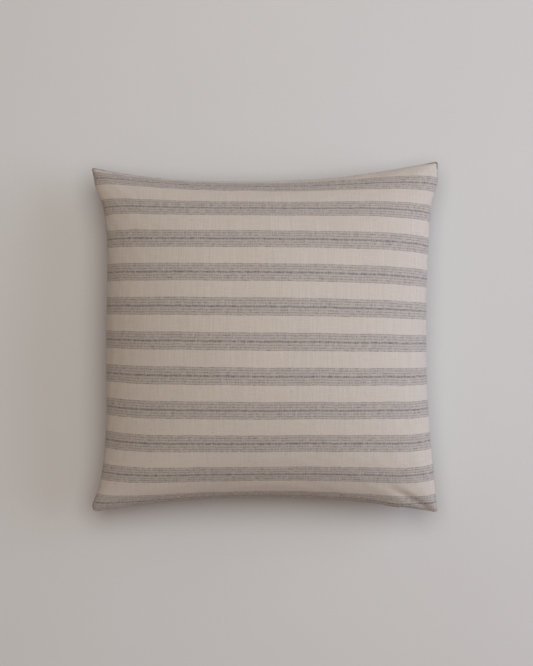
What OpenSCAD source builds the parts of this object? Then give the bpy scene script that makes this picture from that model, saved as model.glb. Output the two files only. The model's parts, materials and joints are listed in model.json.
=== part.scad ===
// Square knife-edge throw pillow: a linen cover with a concealed zip, over a stuffed insert.
// It lies flat with its striped front up. The origin is under its centre, on the face it rests on.
// All four seams are arcs of one radius that bow in towards the centre, and every layer and every
// length of thread, tape and coil is set in from those arcs by its own distance.

/* [Cover] */
// Half of the distance between two neighbouring corners
corner_half = 245; // [200:1:300]
// How far the middle of each side pulls in from the line between its corners
side_bow = 22; // [12:1:34]
// Height of the crown above the seam
front_rise = 92; // [70:1:120]
// Depth of the underside below the seam
back_depth = 60; // [45:1:80]
// How soon the underside meets the surface it lies on
back_fullness = 1.03; // [1.01:0.01:1.08]
// Thickness of the linen
linen_t = 0.8; // [0.5:0.1:1.1]
// Gap between the two panels along a sewn seam
seam_gap = 0.3; // [0.2:0.1:0.5]
// Width of the turned-in seam allowance
allowance = 15; // [14:0.5:20]
// Thickness of the two layers of linen where they fold at the seam
fold_in = 2.2; // [2:0.1:2.8]

/* [Zip] */
// Distance from a corner to the end of the zip, along the side
zip_end_in = 50; // [45:1:80]
// Height of one coil, from the plane where the coils meet
coil_h = 2.2; // [1.8:0.1:2.6]
// Width of the coils, from the seam inwards
coil_w = 2.4; // [2:0.1:3]
// Thickness of the tape
tape_t = 0.5; // [0.4:0.1:0.7]
// Gap between the edge of the tape and the overlock beside it
tape_side_gap = 0.35; // [0.2:0.05:0.6]
// Gap between the linen lips that the slider's neck runs in
lip_gap = 2; // [1.6:0.1:2.4]
// Thickness of a stop along the chain
stop_len = 1.6; // [1:0.1:2.5]

/* [Slider and pull] */
// Length of the slider along the chain
slider_len = 9; // [7:0.5:12]
// Wall thickness of the slider
slider_wall = 0.7; // [0.6:0.1:0.9]
// Thickness of the neck and bridge, across the lips
neck_t = 1.2; // [0.8:0.1:1.2]
// Distance from the seam out to the axis of the pull
pull_out = 1.7; // [1.6:0.1:2.2]
// Radius of the bridge round that axis
bridge_r = 2.4; // [2.2:0.1:2.8]
// Diameter of the hole through the bridge
bridge_hole_d = 2; // [1.8:0.1:2.4]
// Diameter of the pull's cross bar
pull_bar_d = 1.2; // [0.9:0.1:1.3]
// Length of the pull from its cross bar to its tip
pull_len = 20; // [15:1:26]
// Width of the pull
pull_w = 5; // [4.4:0.2:6]
// Thickness of the pull
pull_t = 1; // [0.8:0.1:1.2]

/* [Insert] */
// Distance from the cover's allowance to the insert's seam
insert_gap = 3; // [2:0.5:8]
// Thickness of the ticking
ticking_t = 0.5; // [0.3:0.1:0.7]
// Width of the insert's seam allowance
insert_allowance = 6; // [4:0.5:8]
// Length of the hand-closed stuffing gap
closing_len = 150; // [100:5:200]

/* [Thread and labels] */
// Diameter of the sewing thread, drawn as a continuous bead
thread_d = 0.5; // [0.3:0.1:0.5]
// Thickness of the overlock thread round a raw edge
overlock_t = 0.4; // [0.3:0.1:0.5]
// Width of the overlock along the raw edge
overlock_w = 2; // [1.6:0.1:2.2]
// Length of a bar tack
tack_len = 4; // [3:0.5:5]
// Length of the care label along the seam
care_label_len = 30; // [20:1:40]
// Thickness of a woven label
label_t = 0.3; // [0.2:0.1:0.3]
// Width of the insert's label
insert_label_w = 50; // [30:1:60]
// Height of the insert's label
insert_label_h = 30; // [20:1:40]

/* [Clearances] */
// Running clearance round the moving slider
run_gap = 0.3; // [0.25:0.05:0.4]
// Gap between layers that only lie on each other
layer_gap = 0.8; // [0.7:0.1:1.2]
// Gap between sewn pieces that touch
touch_gap = 0.05; // [0.03:0.01:0.08]

/* [Hidden] */

// Panels are grids of cells x cells quads, closest together at the seams
cells = 28;
// Arcs this long need many steps, because each is a few degrees of a very large circle
arc_fn = 720;
round_fn = 48;
// Power that flattens the underside
back_power = 3;
eps = 0.1;

// The seam arc of each side: its radius, and how far its centre is from the pillow's centre
arc_r = (corner_half * corner_half + side_bow * side_bow) / (2 * side_bow);
arc_c = corner_half - side_bow + arc_r;

// Heights above the plane of the seam
half_gap = seam_gap / 2;
half_lip = lip_gap / 2;
chain_gap = 0.1;
tape_z = 0.2;
coil_top = chain_gap + coil_h;
slider_half_h = coil_top + run_gap + slider_wall;
pocket_z = slider_half_h + 2 * run_gap;
tape_top = tape_z + tape_t;
allowance_z = tape_top + 0.25;

// Distances in from the seam
slider_in = 1.6;
coil_in = slider_in + slider_wall + run_gap;
coil_end = coil_in + coil_w;
slider_end = coil_end + 3 * run_gap;
slider_lip = slider_end - 2 * run_gap;
lip_in = slider_in - slider_wall;
pocket_end = slider_end + 0.5;
pocket_slope = 2.2;
tape_in = pocket_end + pocket_slope;
overlock_in = allowance - overlock_w;
tape_start = coil_end + touch_gap;
tape_end = overlock_in - tape_side_gap;
stitch_in = fold_in + 1;
tape_stitch_in = (tape_in + tape_end) / 2 + thread_d;

// Distances along the zip side
zip_half = corner_half - zip_end_in;
zip_margin = 8;
stop_gap = 0.5;
travel_half = zip_half - slider_len / 2 - stop_gap;

// Insert and fill
insert_in = allowance + insert_gap;
insert_rise = front_rise - linen_t - layer_gap;
insert_depth = back_depth - linen_t - layer_gap;
fill_in = insert_in + insert_allowance + 2;
fill_edge = 1;

function grid(k) = sin(90 * (2 * k / cells - 1));
function degrees(along, radius) = along / radius * 180 / PI;

// A seam arc moved in by d: where it ends at a corner, and its distance from the centre at s along it
function corner_at(d) = (arc_c - sqrt(2 * pow(arc_r + d, 2) - arc_c * arc_c)) / 2;
function edge_at(s, d) = arc_c - sqrt(pow(arc_r + d, 2) - s * s);
function plan(u, v, d) = let (c = corner_at(d)) [u * edge_at(v * c, d), v * edge_at(u * c, d)];

// Height of the crown, and of the underside that rests flat, as shares from 0 to 1
function dome(u, v) = sqrt(max(0, (1 - u * u) * (1 - v * v)));
function sag(u, v) = min(1, back_fullness * (1 - pow(1 - dome(u, v), back_power)));
function share(u, v, flat) = flat ? sag(u, v) : dome(u, v);

// Is column i of the lower side within the zip? The first column past its end still is.
function along_zip(i) =
    let (inner = i < cells / 2 ? i + 1 : i - 1)
    abs(grid(inner)) * corner_half < zip_half + zip_margin;

// Distance along the lower side, from its middle, to the first column that is sewn shut
function sewn_from() = min([for (i = [0:cells]) if (!along_zip(i)) abs(grid(i)) * corner_half]);

// A grid of points set in by d, rising from base to top. Its edge along the zip starts at zip_base.
function layer(d, base, top, zip_base, flat) = [
    for (j = [0:cells]) for (i = [0:cells])
        let (u = grid(i), v = grid(j), p = plan(u, v, d))
        [p[0], p[1], j == 0 && along_zip(i) ? zip_base : base + (top - base) * share(u, v, flat)]
];

// The column and row of point k on the edge of a grid, anticlockwise from its first corner
function edge_cell(k) =
    let (side = floor(k / cells), s = k - side * cells)
    side == 0 ? [s, 0] : side == 1 ? [cells, s] : side == 2 ? [cells - s, cells] : [0, cells - s];

// A closed loop of points along all four sides, set in by d, at height z or, along the zip, zip_z
function loop(d, z, zip_z) = [
    for (k = [0:4 * cells - 1])
        let (e = edge_cell(k), p = plan(grid(e[0]), grid(e[1]), d))
        [p[0], p[1], e[1] == 0 && along_zip(e[0]) ? zip_z : z]
];

// Two triangles for one quad of a grid, cut from the corner nearest a corner of the panel
function quad_up(a, b, c, d, same) = same ? [[a, d, c], [a, c, b]] : [[b, a, d], [b, d, c]];
function flip(faces) = [for (f = faces) [f[2], f[1], f[0]]];

// One closed skin: a grid of points, loops that run on from its edge, and a second grid
module skin(top, loops, bottom) {
    n = cells;
    rim = 4 * n;
    count = (n + 1) * (n + 1);
    points = concat(top, [for (l = loops) each l], bottom);
    low = count + len(loops) * rim;
    function at(i, j) = j * (n + 1) + i;
    function on_rim(level, k) =
        let (m = k % rim, e = edge_cell(m))
        level == 0 ? at(e[0], e[1])
        : level > len(loops) ? low + at(e[0], e[1])
        : count + (level - 1) * rim + m;
    top_faces = [
        for (j = [0:n - 1]) for (i = [0:n - 1])
            each quad_up(at(i, j), at(i + 1, j), at(i + 1, j + 1), at(i, j + 1), (i < n / 2) == (j < n / 2))
    ];
    bands = [
        for (l = [0:len(loops)]) for (k = [0:rim - 1])
            let (a = on_rim(l, k), b = on_rim(l, k + 1), c = on_rim(l + 1, k + 1), d = on_rim(l + 1, k))
            each [[a, b, c], [a, c, d]]
    ];
    low_faces = [for (f = flip(top_faces)) [for (p = f) p + low]];
    polyhedron(points, concat(top_faces, bands, low_faces));
}

// Everything below is placed from the seam's plane, at the height of the underside
module at_seam() {
    translate([0, 0, back_depth]) children();
}

// A profile of [distance in from the seam, height] carried along one side, between two
// distances along it measured from its middle. Side 0 has the zip, and the rest follow round.
module along_side(side, from, to, d) {
    at_seam() rotate([0, 0, 90 * side]) translate([0, -arc_c, 0])
        rotate([0, 0, 90 - degrees(to, arc_r + d)])
            rotate_extrude(angle = degrees(to - from, arc_r + d), $fn = arc_fn)
                translate([arc_r, 0]) children();
}

// A square profile from one distance in to another, and from one height to another
module strip(d1, d2, z1, z2) {
    translate([d1, z1]) square([d2 - d1, z2 - z1]);
}

module bead(d, z) {
    translate([d, z]) circle(d = thread_d, $fn = round_fn);
}

// Moves a piece from the middle of the zip side to a place along it. Its Y is in from the seam.
module on_chain(along) {
    at_seam() translate([0, -arc_c, 0]) rotate([0, 0, -degrees(along, arc_r + slider_in)])
        translate([0, arc_r, 0]) children();
}

// How far a strip set in by d runs from the middle of a side before it nears a corner
function side_run(d) = corner_at(d) - 4;

// ---- cover ----

// A linen panel with its allowance turned in: face side, then wrong side
module panel(reach, flat) {
    face = layer(0, half_gap, reach, half_lip, flat);
    wrong = layer(fold_in, half_gap + linen_t, reach - linen_t, pocket_z + linen_t + eps, flat);
    skin(face, [
        loop(lip_in, half_gap, pocket_z),
        loop(pocket_end, half_gap, pocket_z),
        loop(tape_in, half_gap, allowance_z),
        loop(allowance, half_gap, allowance_z),
        loop(allowance, half_gap + linen_t, allowance_z + linen_t),
        loop(tape_in + linen_t, half_gap + linen_t, allowance_z + linen_t),
        loop(pocket_end + linen_t / 2, half_gap + linen_t, pocket_z + linen_t),
    ], wrong);
}

module front_panel() {
    color("linen") at_seam() panel(front_rise, false);
}

module back_panel() {
    color("antiquewhite") at_seam() mirror([0, 0, 1]) panel(back_depth, true);
}

// Lockstitch on both faces of the joined allowances: three sides, and the zip side's two ends
module seam_thread() {
    z = half_gap + linen_t + thread_d / 2 + touch_gap;
    run = side_run(stitch_in);
    zip_run = sewn_from();
    color("wheat") for (face = [-1, 1]) {
        for (side = [1:3]) along_side(side, -run, run, stitch_in) bead(stitch_in, face * z);
        for (half = [[-run, -zip_run], [zip_run, run]])
            along_side(0, half[0], half[1], stitch_in) bead(stitch_in, face * z);
    }
}

// A thread sleeve round a raw edge that fills heights z1 to z2
module overlock(z1, z2) {
    inner = allowance + touch_gap;
    difference() {
        strip(overlock_in, inner + overlock_t, z1 - touch_gap - overlock_t, z2 + touch_gap + overlock_t);
        strip(overlock_in - eps, inner, z1 - touch_gap, z2 + touch_gap);
    }
}

module overlock_thread() {
    run = side_run(allowance);
    joined = half_gap + linen_t;
    color("wheat") {
        for (side = [1:3]) along_side(side, -run, run, allowance) overlock(-joined, joined);
        along_side(0, -zip_half, zip_half, allowance) overlock(allowance_z, allowance_z + linen_t);
        along_side(0, -zip_half, zip_half, allowance) overlock(-allowance_z - linen_t, -allowance_z);
    }
}

// Blank label, caught in the right-hand side seam and lying on the allowance
module care_label() {
    z = half_gap + linen_t + thread_d + 3 * touch_gap;
    from = zip_half - care_label_len;
    color("white") along_side(1, -from - care_label_len, -from, stitch_in)
        strip(stitch_in, overlock_in - run_gap, z, z + label_t);
}

// ---- zip ----

module zip_tape() {
    along_side(0, -zip_half - zip_margin / 2, zip_half + zip_margin / 2, tape_start)
        strip(tape_start, tape_end, tape_z, tape_top);
}

module zip_tape_front() {
    color("tan") zip_tape();
}

module zip_tape_back() {
    color("tan") mirror_at_seam() zip_tape();
}

module mirror_at_seam() {
    translate([0, 0, 2 * back_depth]) mirror([0, 0, 1]) children();
}

// One half of the closed chain: a bead with its outer corners rounded
module zip_coil() {
    r = coil_h / 3;
    along_side(0, -zip_half, zip_half, coil_in) {
        strip(coil_in, coil_end, chain_gap, coil_top - r);
        strip(coil_in + r, coil_end - r, chain_gap, coil_top);
        for (d = [coil_in + r, coil_end - r])
            translate([d, coil_top - r]) circle(r = r, $fn = round_fn);
    }
}

module zip_coil_front() {
    color("burlywood") zip_coil();
}

module zip_coil_back() {
    color("burlywood") mirror_at_seam() zip_coil();
}

// A clip across both coils, past the end of the chain
module chain_stop(end) {
    d = coil_in;
    from = end > 0 ? zip_half + touch_gap : -zip_half - touch_gap - stop_len;
    along_side(0, from, from + stop_len, d) strip(d, coil_end, -coil_top, coil_top);
}

module zip_top_stop() {
    color("silver") chain_stop(1);
}

module zip_bottom_stop() {
    color("silver") chain_stop(-1);
}

module zip_stitching() {
    z = allowance_z + linen_t + thread_d / 2 + touch_gap;
    color("wheat") for (face = [-1, 1])
        along_side(0, -zip_half, zip_half, tape_stitch_in) bead(tape_stitch_in, face * z);
}

// Bars of thread across the lips, just past each end of the chain
module zip_bartacks() {
    middle = zip_half + zip_margin - tack_len / 2;
    color("wheat") for (end = [-1, 1])
        along_side(0, end * middle - tack_len / 2, end * middle + tack_len / 2, 0)
            strip(-touch_gap - thread_d, -touch_gap, -half_lip - thread_d, half_lip + thread_d);
}

// Channel round both coils, with lips that hold it on, then the neck and the bridge outside
module zip_slider() {
    h = slider_half_h;
    bore = h - slider_wall;
    mouth = tape_top + 1.5 * run_gap;
    half = slider_len / 2;
    color("silver") union() {
        along_side(0, travel_half - half, travel_half + half, slider_in) difference() {
            strip(slider_in, slider_end, -h, h);
            strip(slider_in + slider_wall, slider_lip, -bore, bore);
            strip(slider_lip - eps, slider_end + eps, -mouth, mouth);
        }
        on_chain(travel_half) difference() {
            translate([0, 0, -neck_t / 2]) linear_extrude(neck_t) {
                translate([-bridge_r, -pull_out])
                    square([2 * bridge_r, pull_out + slider_in + slider_wall / 2]);
                translate([0, -pull_out]) circle(r = bridge_r, $fn = round_fn);
            }
            translate([0, -pull_out, -neck_t])
                cylinder(d = bridge_hole_d, h = 2 * neck_t, $fn = round_fn);
        }
    }
}

// Pull tab, folded back over the closed chain, with its cross bar through the bridge
module zip_pull() {
    eye_end = bridge_r + run_gap + eps;
    eye_half = neck_t / 2 + run_gap + eps;
    tip = pull_len - pull_w / 2;
    color("silver") on_chain(travel_half) translate([0, -pull_out, 0]) union() {
        cylinder(d = pull_bar_d, h = pull_w, center = true, $fn = round_fn);
        rotate([90, 0, 0]) linear_extrude(pull_t, center = true) difference() {
            union() {
                translate([-tip, -pull_w / 2]) square([tip, pull_w]);
                translate([-tip, 0]) circle(d = pull_w, $fn = round_fn);
            }
            translate([-eye_end, -eye_half]) square([eye_end + eps, 2 * eye_half]);
            translate([-tip, 0]) circle(d = pull_w / 2, $fn = round_fn);
        }
    }
}

// ---- insert ----

// A ticking panel with its allowance turned in
module ticking(reach, flat) {
    d = insert_in;
    low = half_gap + ticking_t;
    skin(layer(d, half_gap, reach, half_gap, flat), [
        loop(d + insert_allowance, half_gap, half_gap),
        loop(d + insert_allowance, low, low),
    ], layer(d + 1.5, low, reach - ticking_t, low, flat));
}

module insert_front() {
    color("ivory") at_seam() ticking(insert_rise, false);
}

module insert_back() {
    color("ivory") at_seam() mirror([0, 0, 1]) ticking(insert_depth, true);
}

module insert_seam_thread() {
    d = insert_in + 3;
    z = half_gap + ticking_t + thread_d / 2 + touch_gap;
    color("white") for (face = [-1, 1]) for (side = [1:3])
        along_side(side, -side_run(d), side_run(d), d) bead(d, face * z);
}

// Whip stitch over the edge where the stuffing went in
module insert_closing_stitch() {
    d = insert_in - thread_d / 2 - touch_gap;
    color("white") along_side(0, -closing_len / 2, closing_len / 2, d) bead(d, 0);
}

// Blank label sewn flat to the underside of the insert
module insert_label() {
    z = linen_t + (layer_gap - label_t) / 2;
    color("white") translate([insert_label_w / 2, -insert_label_h, z])
        cube([insert_label_w, insert_label_h, label_t]);
}

// The filling: domed above, flattened below
module fill() {
    top = insert_rise - ticking_t - layer_gap;
    low = insert_depth - ticking_t - layer_gap;
    upper = layer(fill_in, fill_edge, top, fill_edge, false);
    lower = [for (p = layer(fill_in, fill_edge, low, fill_edge, true)) [p[0], p[1], -p[2]]];
    color("whitesmoke") at_seam() skin(upper, [], lower);
}

front_panel();
back_panel();
seam_thread();
overlock_thread();
care_label();
zip_tape_front();
zip_tape_back();
zip_coil_front();
zip_coil_back();
zip_slider();
zip_pull();
zip_top_stop();
zip_bottom_stop();
zip_stitching();
zip_bartacks();
insert_front();
insert_back();
insert_seam_thread();
insert_closing_stitch();
insert_label();
fill();
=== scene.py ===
"""Looks of a square knife-edge throw pillow in striped linen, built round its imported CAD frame.

The cover's two panels are simulated as cloth: each starts as its flat cut, is drawn onto the seams that the
frame gives, and is blown up over the insert. The allowances, stitches, zip, labels, insert and filling are
worked out from that cloth and from the frame, and every piece gets its own procedural finish.
All lengths are in metres.
"""

import json
import logging
import math
from dataclasses import dataclass, field
from enum import Enum

import bpy
import numpy as np
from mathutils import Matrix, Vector

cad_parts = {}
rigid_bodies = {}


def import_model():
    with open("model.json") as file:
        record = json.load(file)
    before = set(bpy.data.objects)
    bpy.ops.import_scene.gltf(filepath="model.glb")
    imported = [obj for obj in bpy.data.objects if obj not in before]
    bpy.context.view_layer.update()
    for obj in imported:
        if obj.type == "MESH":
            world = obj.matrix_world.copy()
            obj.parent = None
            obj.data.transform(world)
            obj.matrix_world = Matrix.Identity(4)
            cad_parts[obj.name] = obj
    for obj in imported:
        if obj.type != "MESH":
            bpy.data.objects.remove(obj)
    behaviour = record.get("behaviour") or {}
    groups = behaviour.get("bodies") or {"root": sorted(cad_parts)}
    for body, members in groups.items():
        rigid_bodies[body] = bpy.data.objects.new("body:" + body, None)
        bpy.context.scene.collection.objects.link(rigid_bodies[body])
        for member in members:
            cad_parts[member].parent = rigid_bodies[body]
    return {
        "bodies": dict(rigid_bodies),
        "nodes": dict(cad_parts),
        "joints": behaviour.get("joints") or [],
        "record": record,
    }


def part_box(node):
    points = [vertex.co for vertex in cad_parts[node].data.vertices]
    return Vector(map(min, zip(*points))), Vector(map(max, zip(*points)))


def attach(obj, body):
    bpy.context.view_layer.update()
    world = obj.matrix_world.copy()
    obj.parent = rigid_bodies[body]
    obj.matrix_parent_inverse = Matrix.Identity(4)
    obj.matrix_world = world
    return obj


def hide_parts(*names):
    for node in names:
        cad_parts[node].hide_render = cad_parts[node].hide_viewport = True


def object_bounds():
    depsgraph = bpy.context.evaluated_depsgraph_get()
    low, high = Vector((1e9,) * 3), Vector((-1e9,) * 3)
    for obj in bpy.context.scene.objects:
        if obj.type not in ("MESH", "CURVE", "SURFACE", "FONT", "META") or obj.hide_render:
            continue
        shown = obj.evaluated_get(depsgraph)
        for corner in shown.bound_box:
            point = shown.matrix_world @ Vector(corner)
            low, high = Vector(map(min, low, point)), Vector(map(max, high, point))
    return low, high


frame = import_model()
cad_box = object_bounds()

LOG = logging.getLogger("pillow")
MM = 0.001
FILLED_OUT = 1.03  # how far a resting side's dome passes the height where it is cut off level
THREAD_RADIUS = 0.25 * MM
NEEDLE_DIP = 0.2 * MM
CLEAR = 0.15 * MM  # room between one layer and the next
Colour = tuple[float, float, float]
Skin = tuple[np.ndarray, list[list[int]]]


# ---- arrays ----


def smooth(value: np.ndarray, low: float, high: float) -> np.ndarray:
    """A step from 0 at low to 1 at high with level ends: 3 t squared less 2 t cubed."""
    t = np.clip((value - low) / (high - low), 0, 1)
    return t * t * (3 - 2 * t)


def bump(value: np.ndarray, middle: float, reach: float) -> np.ndarray:
    """A bell of height 1 at middle: e to the power of minus the squared distance over reach."""
    return np.exp(-(((value - middle) / reach) ** 2))


def unit(rows: np.ndarray) -> np.ndarray:
    """Each row over its own length."""
    return rows / np.maximum(np.linalg.norm(rows, axis=-1, keepdims=True), 1e-12)


def squared(wave: np.ndarray, power: float) -> np.ndarray:
    """A wave with its sign kept and its size raised to a power below 1, so that it turns squarely."""
    return np.sign(wave) * np.abs(wave) ** power


def needle_dip(turn: np.ndarray) -> np.ndarray:
    """How far a stitch row dips: wholly at each needle hole, and less by the root of the sine between them."""
    return NEEDLE_DIP * (1 - np.abs(np.sin(turn)) ** 0.5)


def crown(a: np.ndarray, b: np.ndarray, reach: float, flat: bool) -> np.ndarray:
    """Height of a filled square: reach times the root of (1 - a squared) (1 - b squared).

    Where it rests, that dome is filled out by a cubic ease, passes its height a little, and is cut off level.

    Args:
        a: Shares across, from -1 to 1.
        b: Shares along.
        reach: Height in the middle.
        flat: Whether it rests on something.

    Returns:
        Heights, same shape as a.
    """
    dome = np.sqrt(np.clip((1 - a * a) * (1 - b * b), 0, 1))
    return reach * (np.minimum(1.0, FILLED_OUT * (1 - (1 - dome) ** 3)) if flat else dome)


def waves(x: np.ndarray, y: np.ndarray, length: float, seed: int, count: int = 9) -> np.ndarray:
    """A gentle uneven field from about -1 to 1: a sum of cosines that run in seeded directions.

    Args:
        x: Places across.
        y: Places along, same shape.
        length: The waves' mean length.
        seed: Which field.
        count: How many cosines.

    Returns:
        The field's height at each place.
    """
    draw = np.random.default_rng(seed)
    turn = draw.uniform(0, 2 * math.pi, count)
    phase = draw.uniform(0, 2 * math.pi, count)
    rate = 2 * math.pi / (length * draw.uniform(0.7, 1.5, count))
    across = np.multiply.outer(x, np.cos(turn) * rate) + np.multiply.outer(y, np.sin(turn) * rate)
    return np.cos(across + phase).sum(axis=-1) / math.sqrt(2 * count)


def finer(grid: np.ndarray, cells: int) -> np.ndarray:
    """A square grid of points on more cells, by a Catmull-Rom curve through them both ways.

    Args:
        grid: Points, one row of cells + 1 for each line.
        cells: How many cells the finer grid has each way.

    Returns:
        The finer grid.
    """
    old = len(grid) - 1
    place = np.linspace(0, old, cells + 1)
    first = np.minimum(place.astype(int), old - 1)
    t = place - first
    shares = np.stack([(-t + 2 * t**2 - t**3) / 2, (2 - 5 * t**2 + 3 * t**3) / 2,
                       (t + 4 * t**2 - 3 * t**3) / 2, (t**3 - t**2) / 2])
    weights = np.zeros((cells + 1, old + 1))
    rows = np.arange(cells + 1)
    for step in range(4):
        np.add.at(weights, (rows, np.clip(first + step - 1, 0, old)), shares[step])
    return np.einsum("ai,ijk,bj->abk", weights, grid, weights)


def normals(grid: np.ndarray) -> np.ndarray:
    """The upward unit normal at each point of a grid, from its neighbours both ways."""
    return unit(np.cross(np.gradient(grid, axis=1), np.gradient(grid, axis=0)))


def sample(grid: np.ndarray, a: np.ndarray, b: np.ndarray) -> np.ndarray:
    """The point of a grid at shares a across and b along, from -1 to 1, straight between neighbours."""
    last = len(grid) - 1
    x, y = np.clip((a + 1) / 2 * last, 0, last - 1e-6), np.clip((b + 1) / 2 * last, 0, last - 1e-6)
    i, j = x.astype(int), y.astype(int)
    s, t = (x - i)[..., None], (y - j)[..., None]
    near = grid[j, i] * (1 - s) + grid[j, i + 1] * s
    return near * (1 - t) + (grid[j + 1, i] * (1 - s) + grid[j + 1, i + 1] * s) * t


def height_at(grid: np.ndarray, x: np.ndarray, y: np.ndarray) -> np.ndarray:
    """The height of a panel over places in plan: its shares there are found by stepping towards them.

    Args:
        grid: The panel's points.
        x: Places across.
        y: Places along.

    Returns:
        Heights, same shape as x.
    """
    half = np.abs(grid[..., :2]).max()
    a, b = x / half, y / half
    for _ in range(14):
        found = sample(grid, a, b)
        a = np.clip(a + (x - found[..., 0]) / half * 0.9, -1, 1)
        b = np.clip(b + (y - found[..., 1]) / half * 0.9, -1, 1)
    return sample(grid, a, b)[..., 2]


# ---- meshes ----


def mesh_object(name: str, points: np.ndarray, faces: np.ndarray | list[list[int]], cloth: np.ndarray | None = None,
                rim: np.ndarray | None = None, sharp: float = 50.0) -> bpy.types.Object:
    """Makes a smooth-shaded object at the origin from whole arrays.

    Args:
        name: The piece's name.
        points: Vertex places, three numbers a row.
        faces: Vertex indices of each face.
        cloth: Flat cloth coordinates of the vertices, two a row, or None.
        rim: Each vertex's distance in from the seam, or None.
        sharp: Edges that turn more than this many degrees stay sharp.

    Returns:
        The new object, linked to the scene.
    """
    mesh = bpy.data.meshes.new(name)
    rows = faces.tolist() if isinstance(faces, np.ndarray) else faces
    mesh.from_pydata(points.reshape(-1, 3).tolist(), [], rows)
    mesh.polygons.foreach_set("use_smooth", np.ones(len(mesh.polygons), bool))
    if cloth is not None:
        corners = np.empty(len(mesh.loops), np.int32)
        mesh.loops.foreach_get("vertex_index", corners)
        layer = mesh.uv_layers.new(name="cloth")
        layer.data.foreach_set("uv", np.asarray(cloth, np.float32).reshape(-1, 2)[corners].ravel())
    if rim is not None:
        mesh.attributes.new("rim", "FLOAT", "POINT").data.foreach_set("value", np.asarray(rim, np.float32).ravel())
    mesh.update()
    mesh.set_sharp_from_angle(angle=math.radians(sharp))
    piece = bpy.data.objects.new(name, mesh)
    bpy.context.scene.collection.objects.link(piece)
    return piece


def grid_faces(rows: int, columns: int) -> np.ndarray:
    """Quads of a grid of rows by columns of points, anticlockwise seen from above."""
    index = np.arange(rows * columns).reshape(rows, columns)
    return np.stack([index[:-1, :-1], index[:-1, 1:], index[1:, 1:], index[1:, :-1]], axis=-1).reshape(-1, 4)


def at_rim(a: np.ndarray, b: np.ndarray) -> np.ndarray:
    """Whether shares from -1 to 1 are on the edge of their square."""
    return (np.abs(a) == 1) | (np.abs(b) == 1)


def rim_cells(cells: int) -> tuple[np.ndarray, np.ndarray]:
    """Rows and columns of a square grid's edge points, anticlockwise from its first corner."""
    up, low = np.arange(cells), np.zeros(cells, int)
    high = low + cells
    return np.concatenate([low, up, high, cells - up]), np.concatenate([up, high, cells - up, low])


def skin(face: np.ndarray, loops: list[np.ndarray], wrong: np.ndarray, down: bool) -> tuple[np.ndarray, np.ndarray]:
    """One closed skin: a grid of points, loops that run on from its edge, and a second grid.

    Args:
        face: The outer grid.
        loops: Closed rows of points, from the outer grid's edge to the inner one's.
        wrong: The inner grid.
        down: Whether the outer grid faces down.

    Returns:
        All points, three a row, and quads.
    """
    cells = len(face) - 1
    j, i = rim_cells(cells)
    edge = j * (cells + 1) + i
    count, rim = (cells + 1) ** 2, 4 * cells
    levels = [edge] + [count + n * rim + np.arange(rim) for n in range(len(loops))]
    low = count + len(loops) * rim
    levels.append(low + edge)
    top = grid_faces(cells + 1, cells + 1)
    bands = [np.stack([np.roll(a, -1), a, b, np.roll(b, -1)], axis=-1) for a, b in zip(levels[:-1], levels[1:])]
    faces = np.concatenate([top, *bands, top[:, ::-1] + low])
    points = np.concatenate([face.reshape(-1, 3), *loops, wrong.reshape(-1, 3)])
    return points, faces[:, ::-1] if down else faces


def closed(rings: np.ndarray, tips: np.ndarray) -> Skin:
    """A closed skin over rings of points, its two ends closed by a fan to a point each.

    Args:
        rings: Points by ring, going round from the right over the top as seen along the path.
        tips: The two closing points.

    Returns:
        Points and faces.
    """
    rows, sides = rings.shape[:2]
    index = np.arange(rows * sides).reshape(rows, sides)
    around = np.roll(index, -1, axis=1)
    quads = np.stack([index[:-1], index[1:], around[1:], around[:-1]], axis=-1).reshape(-1, 4)
    first = np.stack([np.full(sides, rows * sides), index[0], around[0]], axis=-1)
    last = np.stack([np.full(sides, rows * sides + 1), around[-1], index[-1]], axis=-1)
    return np.concatenate([rings.reshape(-1, 3), tips]), [*quads.tolist(), *first.tolist(), *last.tolist()]


def together(skins: list[Skin]) -> Skin:
    """Several skins as one: their points in a row, and their faces' indices moved on to match."""
    faces, done = [], 0
    for places, rows in skins:
        faces += [[corner + done for corner in row] for row in rows]
        done += len(places)
    return np.concatenate([places for places, _ in skins]), faces


def tube(path: np.ndarray, radius: float, sides: int, coiled: bool) -> Skin:
    """A closed tube along a path: a ring of points round each place, square to the path.

    Args:
        path: Places along the thread, three a row.
        radius: The thread's radius.
        sides: Points in a ring.
        coiled: Whether it winds round its own way forward, which is then the rings' fixed direction.

    Returns:
        Points and faces.
    """
    ahead = unit(np.gradient(path, axis=0))
    fixed = path[-1] - path[0] if coiled else np.array([0.0, 0.0, 1.0])
    side = unit(np.cross(ahead, fixed))
    up = np.cross(side, ahead)
    turn = np.linspace(0, 2 * math.pi, sides, endpoint=False)[:, None]
    rings = path[:, None] + (side[:, None] * np.cos(turn) + up[:, None] * np.sin(turn)) * radius
    tips = np.stack([path[0] - ahead[0] * radius * 0.6, path[-1] + ahead[-1] * radius * 0.6])
    return closed(rings, tips)


def threads(name: str, paths: list[np.ndarray], radius: float, sides: int, coiled: bool = False) -> bpy.types.Object:
    """Several threads of one thickness as one piece.

    Args:
        name: The piece's name.
        paths: Each thread's places.
        radius: The threads' radius.
        sides: Points in a ring.
        coiled: Whether they wind round their own way forward.

    Returns:
        The piece.
    """
    return mesh_object(name, *together([tube(path, radius, sides, coiled) for path in paths]), sharp=80)


# ---- shader nodes ----


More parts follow.
